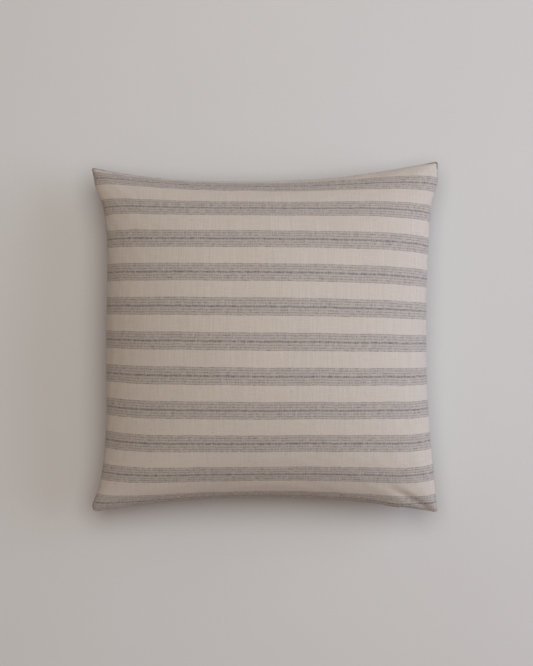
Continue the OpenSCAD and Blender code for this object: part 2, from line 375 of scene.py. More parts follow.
class Graph:
    """One material's node tree, built in a maker's terms."""

    def __init__(self, name: str, colour: Colour, rough: float) -> None:
        """Starts a material with a plain surface.

        Args:
            name: The material's name.
            colour: Linear base colour.
            rough: Roughness.
        """
        self.material = bpy.data.materials.new(name)
        self.material.use_nodes = True
        self.material.diffuse_color = (*colour, 1)
        self.tree = self.material.node_tree
        self.tree.nodes.clear()
        self.shader = self.tree.nodes.new("ShaderNodeBsdfPrincipled")
        self.shader.inputs["Base Color"].default_value = (*colour, 1)
        self.shader.inputs["Roughness"].default_value = rough
        end = self.tree.nodes.new("ShaderNodeOutputMaterial")
        self.tree.links.new(self.shader.outputs[0], end.inputs[0])

    def node(self, kind: str, inputs: dict, **settings: object) -> bpy.types.Node:
        """Adds a node, its settings, and its inputs as numbers or links."""
        made = self.tree.nodes.new(kind)
        for key, value in settings.items():
            setattr(made, key, value)
        for key, value in inputs.items():
            if isinstance(value, bpy.types.NodeSocket):
                self.tree.links.new(value, made.inputs[key])
            else:
                made.inputs[key].default_value = value
        return made

    def math(self, operation: str, *values: object) -> bpy.types.NodeSocket:
        """One sum on numbers or sockets."""
        return self.node("ShaderNodeMath", dict(enumerate(values)), operation=operation).outputs[0]

    def times(self, first: object, *others: object) -> object:
        """The product of numbers and sockets."""
        for other in others:
            first = self.math("MULTIPLY", first, other)
        return first

    def plus(self, first: object, *others: object) -> object:
        """The sum of numbers and sockets."""
        for other in others:
            first = self.math("ADD", first, other)
        return first

    def less(self, value: object, other: object) -> bpy.types.NodeSocket:
        """A number or socket less another."""
        return self.math("SUBTRACT", value, other)

    def cloth(self) -> tuple[bpy.types.NodeSocket, bpy.types.NodeSocket]:
        """The flat cloth's coordinates: along the stripes, and across them."""
        where = self.node("ShaderNodeUVMap", {}, uv_map="cloth").outputs[0]
        parts = self.node("ShaderNodeSeparateXYZ", {0: where})
        return parts.outputs[0], parts.outputs[1]

    def place(self) -> bpy.types.NodeSocket:
        """The place in the row frame."""
        return self.node("ShaderNodeTexCoord", {}).outputs["Object"]

    def point(self, x: object, y: object, z: object = 0.0) -> bpy.types.NodeSocket:
        """A vector from three numbers or sockets."""
        return self.node("ShaderNodeCombineXYZ", {0: x, 1: y, 2: z}).outputs[0]

    def noise(self, where: bpy.types.NodeSocket, scale: float, detail: float = 2.0,
              rough: float = 0.5) -> bpy.types.NodeSocket:
        """Smooth noise from about 0 to 1 with features of 1 / scale."""
        inputs = {"Vector": where, "Scale": scale, "Detail": detail, "Roughness": rough}
        return self.node("ShaderNodeTexNoise", inputs).outputs["Fac"]

    def streaks(self, x: object, y: object, x_rate: float, y_rate: float, detail: float = 2.0) -> bpy.types.NodeSocket:
        """Noise drawn out along one way, by a rate for each coordinate."""
        return self.noise(self.point(self.times(x, x_rate), self.times(y, y_rate)), 1.0, detail)

    def drift(self, x: object, y: object, x_rate: float, y_rate: float, detail: float = 2.0) -> bpy.types.NodeSocket:
        """Streaks less their middle, so that they go both ways from 0."""
        return self.less(self.streaks(x, y, x_rate, y_rate, detail), 0.5)

    def ramp(self, value: object, low: float, high: float, start: float, end: float) -> bpy.types.NodeSocket:
        """A smooth step in value from start, at low, to end, at high."""
        inputs = {"Value": value, "From Min": low, "From Max": high, "To Min": start, "To Max": end}
        return self.node("ShaderNodeMapRange", inputs, interpolation_type="SMOOTHSTEP").outputs[0]

    def mix(self, share: object, first: object, second: object) -> bpy.types.NodeSocket:
        """A colour between two colours."""
        made = self.node("ShaderNodeMix", {0: share}, data_type="RGBA")
        for key, value in ((6, first), (7, second)):
            if isinstance(value, bpy.types.NodeSocket):
                self.tree.links.new(value, made.inputs[key])
            else:
                made.inputs[key].default_value = (*value, 1)
        return made.outputs[2]

    def dim(self, colour: object, factor: object) -> bpy.types.NodeSocket:
        """A colour times a number."""
        return self.node("ShaderNodeVectorMath", {0: colour, "Scale": factor}, operation="SCALE").outputs[0]

    def raise_by(self, height: object, distance: float, strength: float = 1.0) -> None:
        """Bumps the surface by a height from 0 to 1 that stands for a distance."""
        inputs = {"Height": height, "Distance": distance, "Strength": strength}
        made = self.node("ShaderNodeBump", inputs)
        self.tree.links.new(made.outputs[0], self.shader.inputs["Normal"])

    def link(self, value: bpy.types.NodeSocket, socket: str) -> None:
        """Feeds one of the surface's sockets."""
        self.tree.links.new(value, self.shader.inputs[socket])

    def weave(self, u: object, v: object, pitch: float) -> tuple[bpy.types.NodeSocket, bpy.types.NodeSocket]:
        """Plain weave: yarns cross over and under in a chequer.

        Args:
            u: Coordinate along the weft.
            v: Coordinate along the warp.
            pitch: From yarn to yarn.

        Returns:
            How high the upper yarn is, 0 to 1, and 1 where that is a weft yarn.
        """
        rate = math.pi / pitch
        su, sv = (self.math("SINE", self.times(way, rate)) for way in (u, v))
        over = self.ramp(self.times(su, sv), -0.25, 0.25, 0.0, 1.0)
        weft, warp = self.math("ABSOLUTE", sv), self.math("ABSOLUTE", su)
        high = self.plus(self.times(over, weft), self.times(self.less(1.0, over), warp))
        return self.math("POWER", high, 0.7), over


# ---- finishes ----


@dataclass(frozen=True)
class StripedLinen:
    """Slubby plain-weave linen with a repeat of seven grey weft stripes."""

    name: str = "striped linen"
    flax: Colour = (0.556, 0.480, 0.430)
    grey: Colour = (0.150, 0.134, 0.143)
    pitch: float = 48.5 * MM
    first: float = -2.8 * MM
    # Each line's distance out from the repeat's middle, its half width, and its share of grey.
    lines: tuple[tuple[float, float, float], ...] = (
        (0.0, 1.45 * MM, 0.88), (4.8 * MM, 0.62 * MM, 0.74), (8.4 * MM, 0.62 * MM, 0.76), (11.9 * MM, 0.5 * MM, 0.72))
    ground: float = 0.39
    band_half: float = 12.3 * MM
    yarn: float = 0.72 * MM
    wander: float = 5.0 * MM
    wave: float = 0.9 * MM
    swell: float = 1.1 * MM
    # How far the painted shade along the seams darkens the linen.
    seam_shade_depth: float = 0.62

    def build(self) -> bpy.types.Material:
        """Makes the material.

        The coordinate across the stripes wanders a little. Each line is a band round its own distance in the
        repeat, whose edges swell and break with slubs. The grey shows most where the weft lies over the warp,
        so the lines are finely dotted.
        """
        g = Graph(self.name, self.flax, 0.92)
        u, v = g.cloth()
        waver = g.drift(u, v, 45.0, 20.0)
        across = g.plus(v, g.times(g.drift(u, v, 7.0, 1.5), self.wander), g.times(waver, self.wave))
        slub = g.drift(u, across, 70.0, 900.0, 3.0)
        high, over = g.weave(g.plus(u, g.times(waver, 0.6 * MM)), g.plus(across, g.times(slub, 0.25 * MM)), self.yarn)
        speck, ends = g.drift(u, v, 420.0, 700.0, 3.0), g.drift(u, v, 640.0, 110.0, 3.0)
        dark = g.times(self.stripes(g, across, slub), self.fading(g, u, across, speck, ends),
                       g.ramp(over, 0.0, 1.0, 0.72, 1.1))
        knots = g.ramp(g.streaks(u, across, 120.0, 1100.0, 0.0), 0.77, 0.86, 0.0, 0.4)
        dark = g.node("ShaderNodeClamp", {0: g.plus(dark, knots)}).outputs[0]
        weft, warp = g.drift(u, v, 30.0, 1100.0), g.drift(u, v, 900.0, 22.0)
        broad = g.less(g.noise(g.point(u, v), 9.0), 0.5)
        tone = g.plus(g.plus(g.plus(g.times(weft, 0.18), g.times(warp, 0.27)), g.times(broad, 0.06)), 0.98)
        # Darker where the weave is low, between the yarns: painted shade in the weave's hollows.
        tone = g.times(g.plus(tone, g.times(speck, 0.22)), g.ramp(high, 0.1, 0.9, 0.90, 1.03))
        # Painted shade: the linen is darkened within a few millimetres of the seams, most at the far one.
        tone = g.times(tone, g.less(1.0, g.times(self.painted_seam_shade(g, u, v), self.seam_shade_depth)))
        g.link(g.dim(g.mix(dark, self.flax, self.grey), tone), "Base Color")
        g.raise_by(g.plus(high, g.times(g.plus(weft, warp), 0.9)), 0.16 * MM, 0.8)
        g.shader.inputs["Specular IOR Level"].default_value = 0.2
        g.shader.inputs["Sheen Weight"].default_value = 0.18
        g.shader.inputs["Sheen Roughness"].default_value = 0.55
        g.shader.inputs["Sheen Tint"].default_value = (1.0, 0.95, 0.9, 1)
        return g.material

    def stripes(self, g: Graph, across: object, slub: object) -> bpy.types.NodeSocket:
        """How grey the weft is: the coordinate wrapped to a repeat and folded, and a ramp for each line.

        Args:
            g: The graph.
            across: Coordinate across the stripes.
            slub: How thick the yarn is here, both ways from 0.

        Returns:
            0 for undyed weft, up to the strongest line's share of grey.
        """
        out = g.math("ABSOLUTE", g.math("WRAP", g.less(across, self.first), self.pitch / 2, -self.pitch / 2))
        swell = g.times(slub, self.swell)
        dark = g.ramp(out, self.band_half - 0.5 * MM, self.band_half + 0.3 * MM, self.ground, 0.0)
        for middle, half, depth in self.lines:
            off = g.less(g.math("ABSOLUTE", g.less(out, middle)), swell)
            dark = g.math("MAXIMUM", dark, g.ramp(off, half - 0.35 * MM, half + 0.45 * MM, depth, 0.0))
        return dark

    def fading(self, g: Graph, u: object, across: object, speck: object, ends: object) -> object:
        """How far the grey holds: long streaks of dye, and short specks and warp ends over them.

        Args:
            g: The graph.
            u: Coordinate along the stripes.
            across: Coordinate across them.
            speck: Short specks, both ways from 0.
            ends: Warp ends, both ways from 0.

        Returns:
            A factor round 1.
        """
        dye = g.ramp(g.streaks(u, across, 130.0, 1400.0, 2.0), 0.3, 0.7, 0.55, 1.25)
        return g.times(dye, g.plus(1.0, g.plus(g.times(speck, 1.2), g.times(ends, 2.0))))

    def painted_seam_shade(self, g: Graph, u: object, v: object) -> object:
        """How much painted shade darkens the cloth at the seams: most within a few millimetres of them, broken into
        streaks, and most at the far one.
        """
        rim = g.node("ShaderNodeAttribute", {}, attribute_name="rim").outputs["Fac"]
        # Streaks that break up the painted seam shade.
        shade_breakup = g.ramp(g.streaks(u, v, 120.0, 120.0), 0.35, 0.6, 0.35, 1.0)
        far = g.ramp(v, 225 * MM, 250 * MM, 0.5, 1.0)
        return g.times(g.ramp(rim, 1.0 * MM, 5.5 * MM, 1.0, 0.0), g.times(shade_breakup, far))


@dataclass(frozen=True)
class PlainWeave:
    """A plain woven cloth of one colour, on Object coordinates or its own cloth coordinates."""

    name: str
    colour: Colour
    yarn: float
    depth: float
    rough: float = 0.9
    sheen: float = 0.1
    ribs: bool = False

    def build(self) -> bpy.types.Material:
        """Makes the material: a weave or ribs for its bump, and uneven yarns for its tone, with painted shade
        darkening it between the yarns.
        """
        g = Graph(self.name, self.colour, self.rough)
        u, v = g.cloth()
        high, _ = g.weave(u, g.times(v, 0.45) if self.ribs else v, self.yarn)
        uneven = g.plus(g.streaks(u, v, 900.0, 40.0), g.streaks(u, v, 40.0, 900.0))
        # Darker where the weave is low, between the yarns: painted shade in the weave's hollows.
        tone = g.times(g.ramp(uneven, 0.6, 1.4, 0.9, 1.06), g.ramp(high, 0.1, 0.9, 0.86, 1.03))
        g.link(g.dim(self.colour, tone), "Base Color")
        g.raise_by(high, self.depth, 0.8)
        g.shader.inputs["Specular IOR Level"].default_value = 0.25
        g.shader.inputs["Sheen Weight"].default_value = self.sheen
        return g.material


@dataclass(frozen=True)
class Thread:
    """Spun sewing thread, twisted and slightly hairy."""

    name: str
    colour: Colour
    twist: float = 2600.0

    def build(self) -> bpy.types.Material:
        """Makes the material: slanting bands of twist on Object coordinates, a broken tone, and painted shade in the
        twist's grooves.
        """
        g = Graph(self.name, self.colour, 0.7)
        where = g.place()
        parts = g.node("ShaderNodeSeparateXYZ", {0: where}).outputs
        slant = g.plus(parts[0], parts[1], g.times(parts[2], 1.7))
        twist = g.math("ABSOLUTE", g.math("SINE", g.times(slant, self.twist)))
        # Darker in the grooves between the twist's bands: painted shade.
        tone = g.times(g.ramp(twist, 0.0, 0.7, 0.78, 1.04), g.ramp(g.noise(where, 700.0), 0.3, 0.7, 0.92, 1.06))
        g.link(g.dim(self.colour, tone), "Base Color")
        g.raise_by(twist, 0.06 * MM)
        g.shader.inputs["Sheen Weight"].default_value = 0.1
        return g.material


@dataclass(frozen=True)
class CoilNylon:
    """Dyed nylon monofilament of the zip's coil."""

    name: str = "zip coil"
    colour: Colour = (0.50, 0.43, 0.36)

    def build(self) -> bpy.types.Material:
        """Makes the material: nearly smooth, with faint drawing marks and dye that varies a little."""
        g = Graph(self.name, self.colour, 0.38)
        where = g.place()
        g.link(g.dim(self.colour, g.ramp(g.noise(where, 420.0), 0.3, 0.7, 0.9, 1.06)), "Base Color")
        g.link(g.ramp(g.noise(where, 900.0), 0.3, 0.7, 0.3, 0.48), "Roughness")
        g.raise_by(g.noise(where, 2500.0), 0.02 * MM, 0.5)
        g.shader.inputs["Coat Weight"].default_value = 0.1
        return g.material


@dataclass(frozen=True)
class PaintedMetal:
    """Die-cast zip metal under a matt paint that has rubbed thin in specks."""

    name: str = "painted zip metal"
    colour: Colour = (0.47, 0.42, 0.365)

    def build(self) -> bpy.types.Material:
        """Makes the material: paint with a fine orange peel, rubbed pale in specks."""
        g = Graph(self.name, self.colour, 0.42)
        where = g.place()
        rubbed = g.ramp(g.noise(where, 900.0, 4.0), 0.55, 0.75, 0.0, 0.6)
        g.link(g.mix(rubbed, self.colour, (0.62, 0.60, 0.57)), "Base Color")
        g.link(g.ramp(g.noise(where, 1500.0, 3.0), 0.3, 0.7, 0.34, 0.5), "Roughness")
        g.raise_by(g.noise(where, 2200.0, 3.0), 0.03 * MM, 0.6)
        g.shader.inputs["Metallic"].default_value = 0.15
        return g.material


@dataclass(frozen=True)
class Wadding:
    """White fibre filling, matted and tufted."""

    name: str = "fibre filling"
    colour: Colour = (0.80, 0.79, 0.76)

    def build(self) -> bpy.types.Material:
        """Makes the material: crossed fibres and soft tufts for bump and tone, the tone darker where they sink as
        painted shade.
        """
        g = Graph(self.name, self.colour, 0.95)
        where = g.place()
        tufts = g.noise(where, 60.0, 5.0, 0.65)
        hairs = g.node("ShaderNodeTexWave", {"Vector": where, "Scale": 260.0, "Distortion": 26.0, "Detail": 4.0,
                                             "Detail Scale": 2.0}).outputs["Fac"]
        # Darker where the tufts and fibres sink: painted shade in their hollows.
        tone = g.times(g.ramp(tufts, 0.25, 0.7, 0.84, 1.04), g.ramp(hairs, 0.0, 1.0, 0.93, 1.03))
        g.link(g.dim(self.colour, tone), "Base Color")
        g.raise_by(g.plus(tufts, g.times(hairs, 0.25)), 2.0 * MM)
        g.shader.inputs["Sheen Weight"].default_value = 0.35
        g.shader.inputs["Sheen Roughness"].default_value = 0.7
        return g.material


@dataclass(frozen=True)
class PaleFloor:
    """Plain matt studio floor."""

    name: str = "pale floor"
    colour: Colour = (0.62, 0.592, 0.587)

    def build(self) -> bpy.types.Material:
        """Makes the material: one pale tone with the faintest mottling."""
        g = Graph(self.name, self.colour, 0.9)
        tone = g.ramp(g.noise(g.place(), 3.0), 0.3, 0.7, 0.992, 1.008)
        g.link(g.dim(self.colour, tone), "Base Color")
        g.shader.inputs["Specular IOR Level"].default_value = 0.1
        return g.material


class Slot(Enum):
    """The record's material slots."""

    LINEN = "striped_linen"
    TICKING = "ticking"
    THREAD = "sewing_thread"
    WHITE_THREAD = "white_thread"
    TAPE = "zip_tape"
    COIL = "zip_coil"
    METAL = "zip_metal"
    RIBBON = "label_ribbon"
    FIBRE = "fibre_fill"


@dataclass
class Finishes:
    """Every finish of the pillow, made once."""

    made: dict[Slot, bpy.types.Material] = field(default_factory=dict)

    def __post_init__(self) -> None:
        """Builds each slot's material."""
        self.made = {
            Slot.LINEN: StripedLinen().build(),
            Slot.TICKING: PlainWeave("ticking", (0.74, 0.72, 0.67), 0.35 * MM, 0.07 * MM).build(),
            Slot.THREAD: Thread("linen-coloured thread", (0.55, 0.48, 0.405)).build(),
            Slot.WHITE_THREAD: Thread("white thread", (0.78, 0.77, 0.74)).build(),
            Slot.TAPE: PlainWeave("zip tape", (0.50, 0.435, 0.365), 0.6 * MM, 0.12 * MM, 0.8, 0.15, True).build(),
            Slot.COIL: CoilNylon().build(),
            Slot.METAL: PaintedMetal().build(),
            Slot.RIBBON: PlainWeave("label ribbon", (0.80, 0.79, 0.76), 0.3 * MM, 0.04 * MM, 0.55, 0.2, True).build(),
            Slot.FIBRE: Wadding().build(),
        }

    def dress(self, piece: bpy.types.Object, slot: Slot, node: str | None = None) -> bpy.types.Object:
        """Gives a piece its finish and slot, and lets it ride and stand for a CAD node.

        Args:
            piece: The piece, or a CAD node that stays.
            slot: Its material slot.
            node: The CAD node that it replaces, or None for a CAD node that stays.

        Returns:
            The piece.
        """
        piece.data.materials.clear()
        piece.data.materials.append(self.made[slot])
        if node is not None:
            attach(piece, "cushion")
            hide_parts(node)
        LOG.info("%s: %d faces, %s", piece.name, len(piece.data.polygons), slot.value)
        return piece


# ---- the seam ----


@dataclass(frozen=True)
class SideLie:
    """How far one seam lies in from its arc on the day: at its middle, towards each end, and at an ear."""

    middle: float = 0.0
    low_end: float = 0.0
    high_end: float = 0.0
    ear: float = 0.0

    def inward(self, t: np.ndarray) -> np.ndarray:
        """The middle's share is 1 - t squared, an end's 4 t squared (1 - t squared), less a bell at the ear."""
        end = np.where(t > 0, self.high_end, self.low_end)
        return (self.middle + end * 4 * t**2) * (1 - t**2) - self.ear * bump(t, 0.88, 0.08)


@dataclass(frozen=True)
class CornerLie:
    """A corner: which one, how far its rounding reaches, and how far its tip droops."""

    x: int
    y: int
    reach: float
    droop: float


@dataclass
class SeamPlan:
    """The four seams: arcs read off the frame, and how the soft cover lies off them."""

    corner: float
    centre: float
    level: float
    left: SideLie = SideLie(0.6 * MM, 6.5 * MM, 9.0 * MM, 4.5 * MM)
    right: SideLie = SideLie(-4.5 * MM, -1.0 * MM, 1.5 * MM, 4.0 * MM)
    top: SideLie = SideLie(3.3 * MM, 2.0 * MM)
    top_shift: float = 2.1 * MM
    top_tilt: float = 4.2 * MM
    clear_of_zip: tuple[float, float] = (-0.975, -0.86)
    droop_reach: float = 48 * MM
    corners: tuple[CornerLie, ...] = (
        CornerLie(-1, 1, 8 * MM, 4 * MM), CornerLie(1, 1, 6 * MM, 2 * MM),
        CornerLie(-1, -1, 14 * MM, 3 * MM), CornerLie(1, -1, 4 * MM, 2 * MM))
    radius: float = field(init=False)

    def __post_init__(self) -> None:
        """Works out the arcs' radius: an arc's ends are at the corners."""
        self.radius = math.hypot(self.corner, self.centre - self.corner)

    @classmethod
    def from_frame(cls, frame: dict) -> "SeamPlan":
        """Reads the corners off the front panel's box, and the arcs' centre off the zip's joint.


        Returns:
            The plan.
        """
        low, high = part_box("front_panel")
        run = next(joint for joint in frame["joints"] if joint["name"] == "zip_run")
        return cls((high.x - low.x) / 2, -run["pos_m"][1], run["pos_m"][2])

    def corner_at(self, inset: float) -> float:
        """Half the side of the corners' square, for seams moved in: where two such arcs cross."""
        reach = self.radius + inset
        return (self.centre - np.sqrt(2 * reach**2 - self.centre**2)) / 2

    def edge(self, along: np.ndarray, inset: float = 0.0) -> np.ndarray:
        """Distance of a seam, moved in, from the middle: the arc's height at a place along it."""
        return self.centre - np.sqrt((self.radius + inset) ** 2 - along**2)

    def flat_place(self, a: np.ndarray, b: np.ndarray, inset: float = 0.0) -> tuple[np.ndarray, np.ndarray]:
        """Plan place of shares a and b from -1 to 1: each times the arc's distance at the other."""
        corner = self.corner_at(inset)
        return a * self.edge(b * corner, inset), b * self.edge(a * corner, inset)

    def lie(self, x: np.ndarray, y: np.ndarray) -> tuple[np.ndarray, np.ndarray, np.ndarray]:
        """How far the soft cover lies off its plan place: sides, the top's tilt, and corners.

        Args:
            x: Places across.
            y: Places along.

        Returns:
            Shifts across, along and up.
        """
        a, b = x / self.corner, y / self.corner
        clear = smooth(b, *self.clear_of_zip)
        dx = (smooth(-a, 0.1, 1) * self.left.inward(b) - smooth(a, 0.1, 1) * self.right.inward(b)) * clear
        dy = smooth(b, 0.1, 1) * (self.top_shift + self.top_tilt * a - self.top.inward(a))
        dz = np.zeros_like(dx)
        for c in self.corners:
            near = 2 * self.corner - c.x * x - c.y * y
            pull = np.clip(1 - near / c.reach, 0, None) ** 2 * c.reach / 4
            dx, dy = dx - c.x * pull, dy - c.y * pull
            dz = dz - c.droop * np.clip(1 - near / self.droop_reach, 0, 1) ** 2
        return dx, dy, dz

    def lay(self, a: np.ndarray, b: np.ndarray, inset: float, height: np.ndarray) -> np.ndarray:
        """Points of the cover at shares a and b, moved in, at a height over the seam, as it lies."""
        x, y = self.flat_place(a, b, inset)
        dx, dy, dz = self.lie(x, y)
        return np.stack([x + dx, y + dy, self.level + height + dz], axis=-1)

    def side(self, number: int, share: np.ndarray, inset: float, height: np.ndarray) -> np.ndarray:
        """Points along one side, counted anticlockwise from the zip's, at shares from -1 to 1 of its length."""
        t, one = np.asarray(share, float), np.ones_like(share)
        a, b = ((t, -one), (one, t), (-t, one), (-one, -t))[number]
        return self.lay(a, b, inset, height)

    def on_chain(self, along: np.ndarray, inset: np.ndarray, height: np.ndarray) -> np.ndarray:
        """Points by the zip: an arc length from its middle, in from the seam, and over it."""
        turn = along / (self.radius + inset)
        reach = self.radius + inset
        return np.stack([reach * np.sin(turn), reach * np.cos(turn) - self.centre, self.level + height], axis=-1)


# ---- the cover ----


def ellipse_share(arc: np.ndarray, ratio: np.ndarray) -> np.ndarray:
    """Horizontal share reached at a share of the arc of a half ellipse.

    The ellipse is 1 across and ratio high. Its arc length is summed over even steps of its angle for a row
    of ratios, and read back straight between the two nearest ratios.

    Args:
        arc: Shares of the arc from the crown, from -1 to 1.
        ratio: Height of the ellipse over its half width, same shape.

    Returns:
        Horizontal shares from -1 to 1.
    """
    steps, ratios = 240, np.linspace(0.0, 1.2, 25)
    angles = np.linspace(0.0, math.pi / 2, steps + 1)
    speed = np.hypot(np.cos(angles)[None, :], ratios[:, None] * np.sin(angles)[None, :])
    length = np.cumsum((speed[:, 1:] + speed[:, :-1]) / 2, axis=1)
    length = np.concatenate([np.zeros((len(ratios), 1)), length], axis=1) / length[:, -1:]
    table = np.stack([np.interp(np.linspace(0.0, 1.0, steps + 1), row, np.sin(angles)) for row in length])
    row = np.clip(ratio / ratios[1], 0, len(ratios) - 1.001)
    column = np.clip(np.abs(arc) * steps, 0, steps - 0.001)
    i, j = row.astype(int), column.astype(int)
    s, t = row - i, column - j
    near = table[i, j] * (1 - t) + table[i, j + 1] * t
    far = table[i + 1, j] * (1 - t) + table[i + 1, j + 1] * t
    return np.sign(arc) * (near * (1 - s) + far * s)


@dataclass(frozen=True)
class Cut:
    """A panel's cut across the stripes: askew at its far edge, with a bowed weft, and more taken in at both edges."""

    half: float = 254 * MM
    near: float = -258 * MM
    far: float = 259.5 * MM
    slant: float = 11.5 * MM
    bow: float = 2.6 * MM

    def across(self, a: np.ndarray, b: np.ndarray) -> np.ndarray:
        """Distance across the stripes at shares of the cut.

        It runs evenly from near to far. The slant grows with the square of the share along, the bow is a bell
        both ways, and what the edges took in is a smooth step towards each.

        Args:
            a: Shares across, from -1 to 1.
            b: Shares along.

        Returns:
            Distances from the middle stripe's place.
        """
        share = (b + 1) / 2
        even = self.near * (1 - share) + self.far * share + self.slant * a * share**2
        bowed = even - self.bow * bump(b, -0.7, 0.35) * bump(a, 0.25, 0.5)
        taken = (5.4 + 1.2 * a) * MM * smooth(b, 0.68, 0.9) + (5.0 - 2.5 * a) * MM * smooth(b, 0.87, 1.0)
        return bowed + taken - 3.6 * MM * smooth(-b, 0.72, 0.92)


@dataclass(frozen=True)
class Creases:
    """Where the filling leaves the upper panel uneven: lumps, a fold from one corner, and an overhang by the zip."""

    lump: float = 0.9 * MM
    lump_length: float = 150 * MM
    fold: float = 3.6 * MM
    fold_half: float = 4.5 * MM
    fold_way: tuple[float, float] = (0.93, 0.37)
    fold_run: tuple[float, float, float, float] = (4 * MM, 22 * MM, 40 * MM, 85 * MM)
    overhang: float = 3.2 * MM
    overhang_at: float = 184 * MM
    overhang_reach: float = 22 * MM

    def height(self, x: np.ndarray, y: np.ndarray, corner: float) -> np.ndarray:
        """How much the lumps and the fold change the panel's height.

        The lumps are gentle waves under the dome. The fold is a furrow, a bell aside of a line from the
        right-hand near corner, which comes in over its first stretch and goes out over its last.

        Args:
            x: Shares across, from -1 to 1.
            y: Shares along.
            corner: Half the side of the corners' square.

        Returns:
            Heights to add.
        """
        lumps = crown(x, y, 1.0, False) * waves(x * corner, y * corner, self.lump_length, 5) * self.lump
        right, near, (one, other) = corner - x * corner, y * corner + corner, self.fold_way
        along, aside = right * one + near * other, right * other - near * one
        start, full, thin, end = self.fold_run
        furrow = bump(aside, 0, self.fold_half) * smooth(along, start, full) * (1 - smooth(along, thin, end))
        return lumps - self.fold * furrow

    def forward(self, x: np.ndarray, arc: np.ndarray) -> np.ndarray:
        """How far the cloth hangs over the seam by the zip's closed end: a bell along it and a bell up from it."""
        return self.overhang * bump(x, self.overhang_at, self.overhang_reach) * bump(arc, 12 * MM, 8 * MM)


@dataclass
class ClothSettings:
    """How the linen behaves while it is drawn onto the seams and blown up."""

    frames: int = 24
    draw_in: int = 11
    quality: int = 6
    mass: float = 0.05
    stretch: float = 40.0
    squeeze: float = 12.0
    shear: float = 0.6
    bend: float = 6.0
    air: float = 3.0
    pressure: float = 6.0
    hold: float = 0.25
    cap: float = 9 * MM
    loose: float = 0.12
    loose_seam: float = 0.45
    seam_power: int = 24
    ease: float = 0.004
    seam_ease: float = 0.010
    corner_ease: float = 0.012

    def kept(self, move: np.ndarray, a: np.ndarray, b: np.ndarray) -> np.ndarray:
        """How much of the cloth's movement is kept: a share of it, more by the seams, and never past the cap.

        Args:
            move: Each point's movement, the front's points and then the back's.
            a: Shares across of one panel's grid.
            b: Shares along.

        Returns:
            The kept movement, one grid for each panel.
        """
        far = np.linalg.norm(move, axis=1, keepdims=True)
        near = np.tile((np.maximum(np.abs(a), np.abs(b)) ** self.seam_power).ravel(), 2)[:, None]
        LOG.info("cloth settled, furthest %.1f mm, mean %.1f mm", far.max() / MM, far.mean() / MM)
        capped = np.minimum(1, self.cap / np.maximum(far, 1e-9))
        return (move * (capped * (self.loose + self.loose_seam * near))).reshape(2, *a.shape, 3)

    def give(self, settings: bpy.types.ClothSettings, held: str) -> None:
        """Gives a Cloth modifier these numbers, no gravity, and the group of held points."""
        settings.quality, settings.mass, settings.air_damping = self.quality, self.mass, self.air
        settings.tension_stiffness, settings.compression_stiffness = self.stretch, self.squeeze
        settings.shear_stiffness, settings.bending_stiffness = self.shear, self.bend
        settings.vertex_group_mass, settings.pin_stiffness = held, 1.0
        settings.use_pressure, settings.uniform_pressure_force = True, self.pressure
        settings.effector_weights.gravity = 0


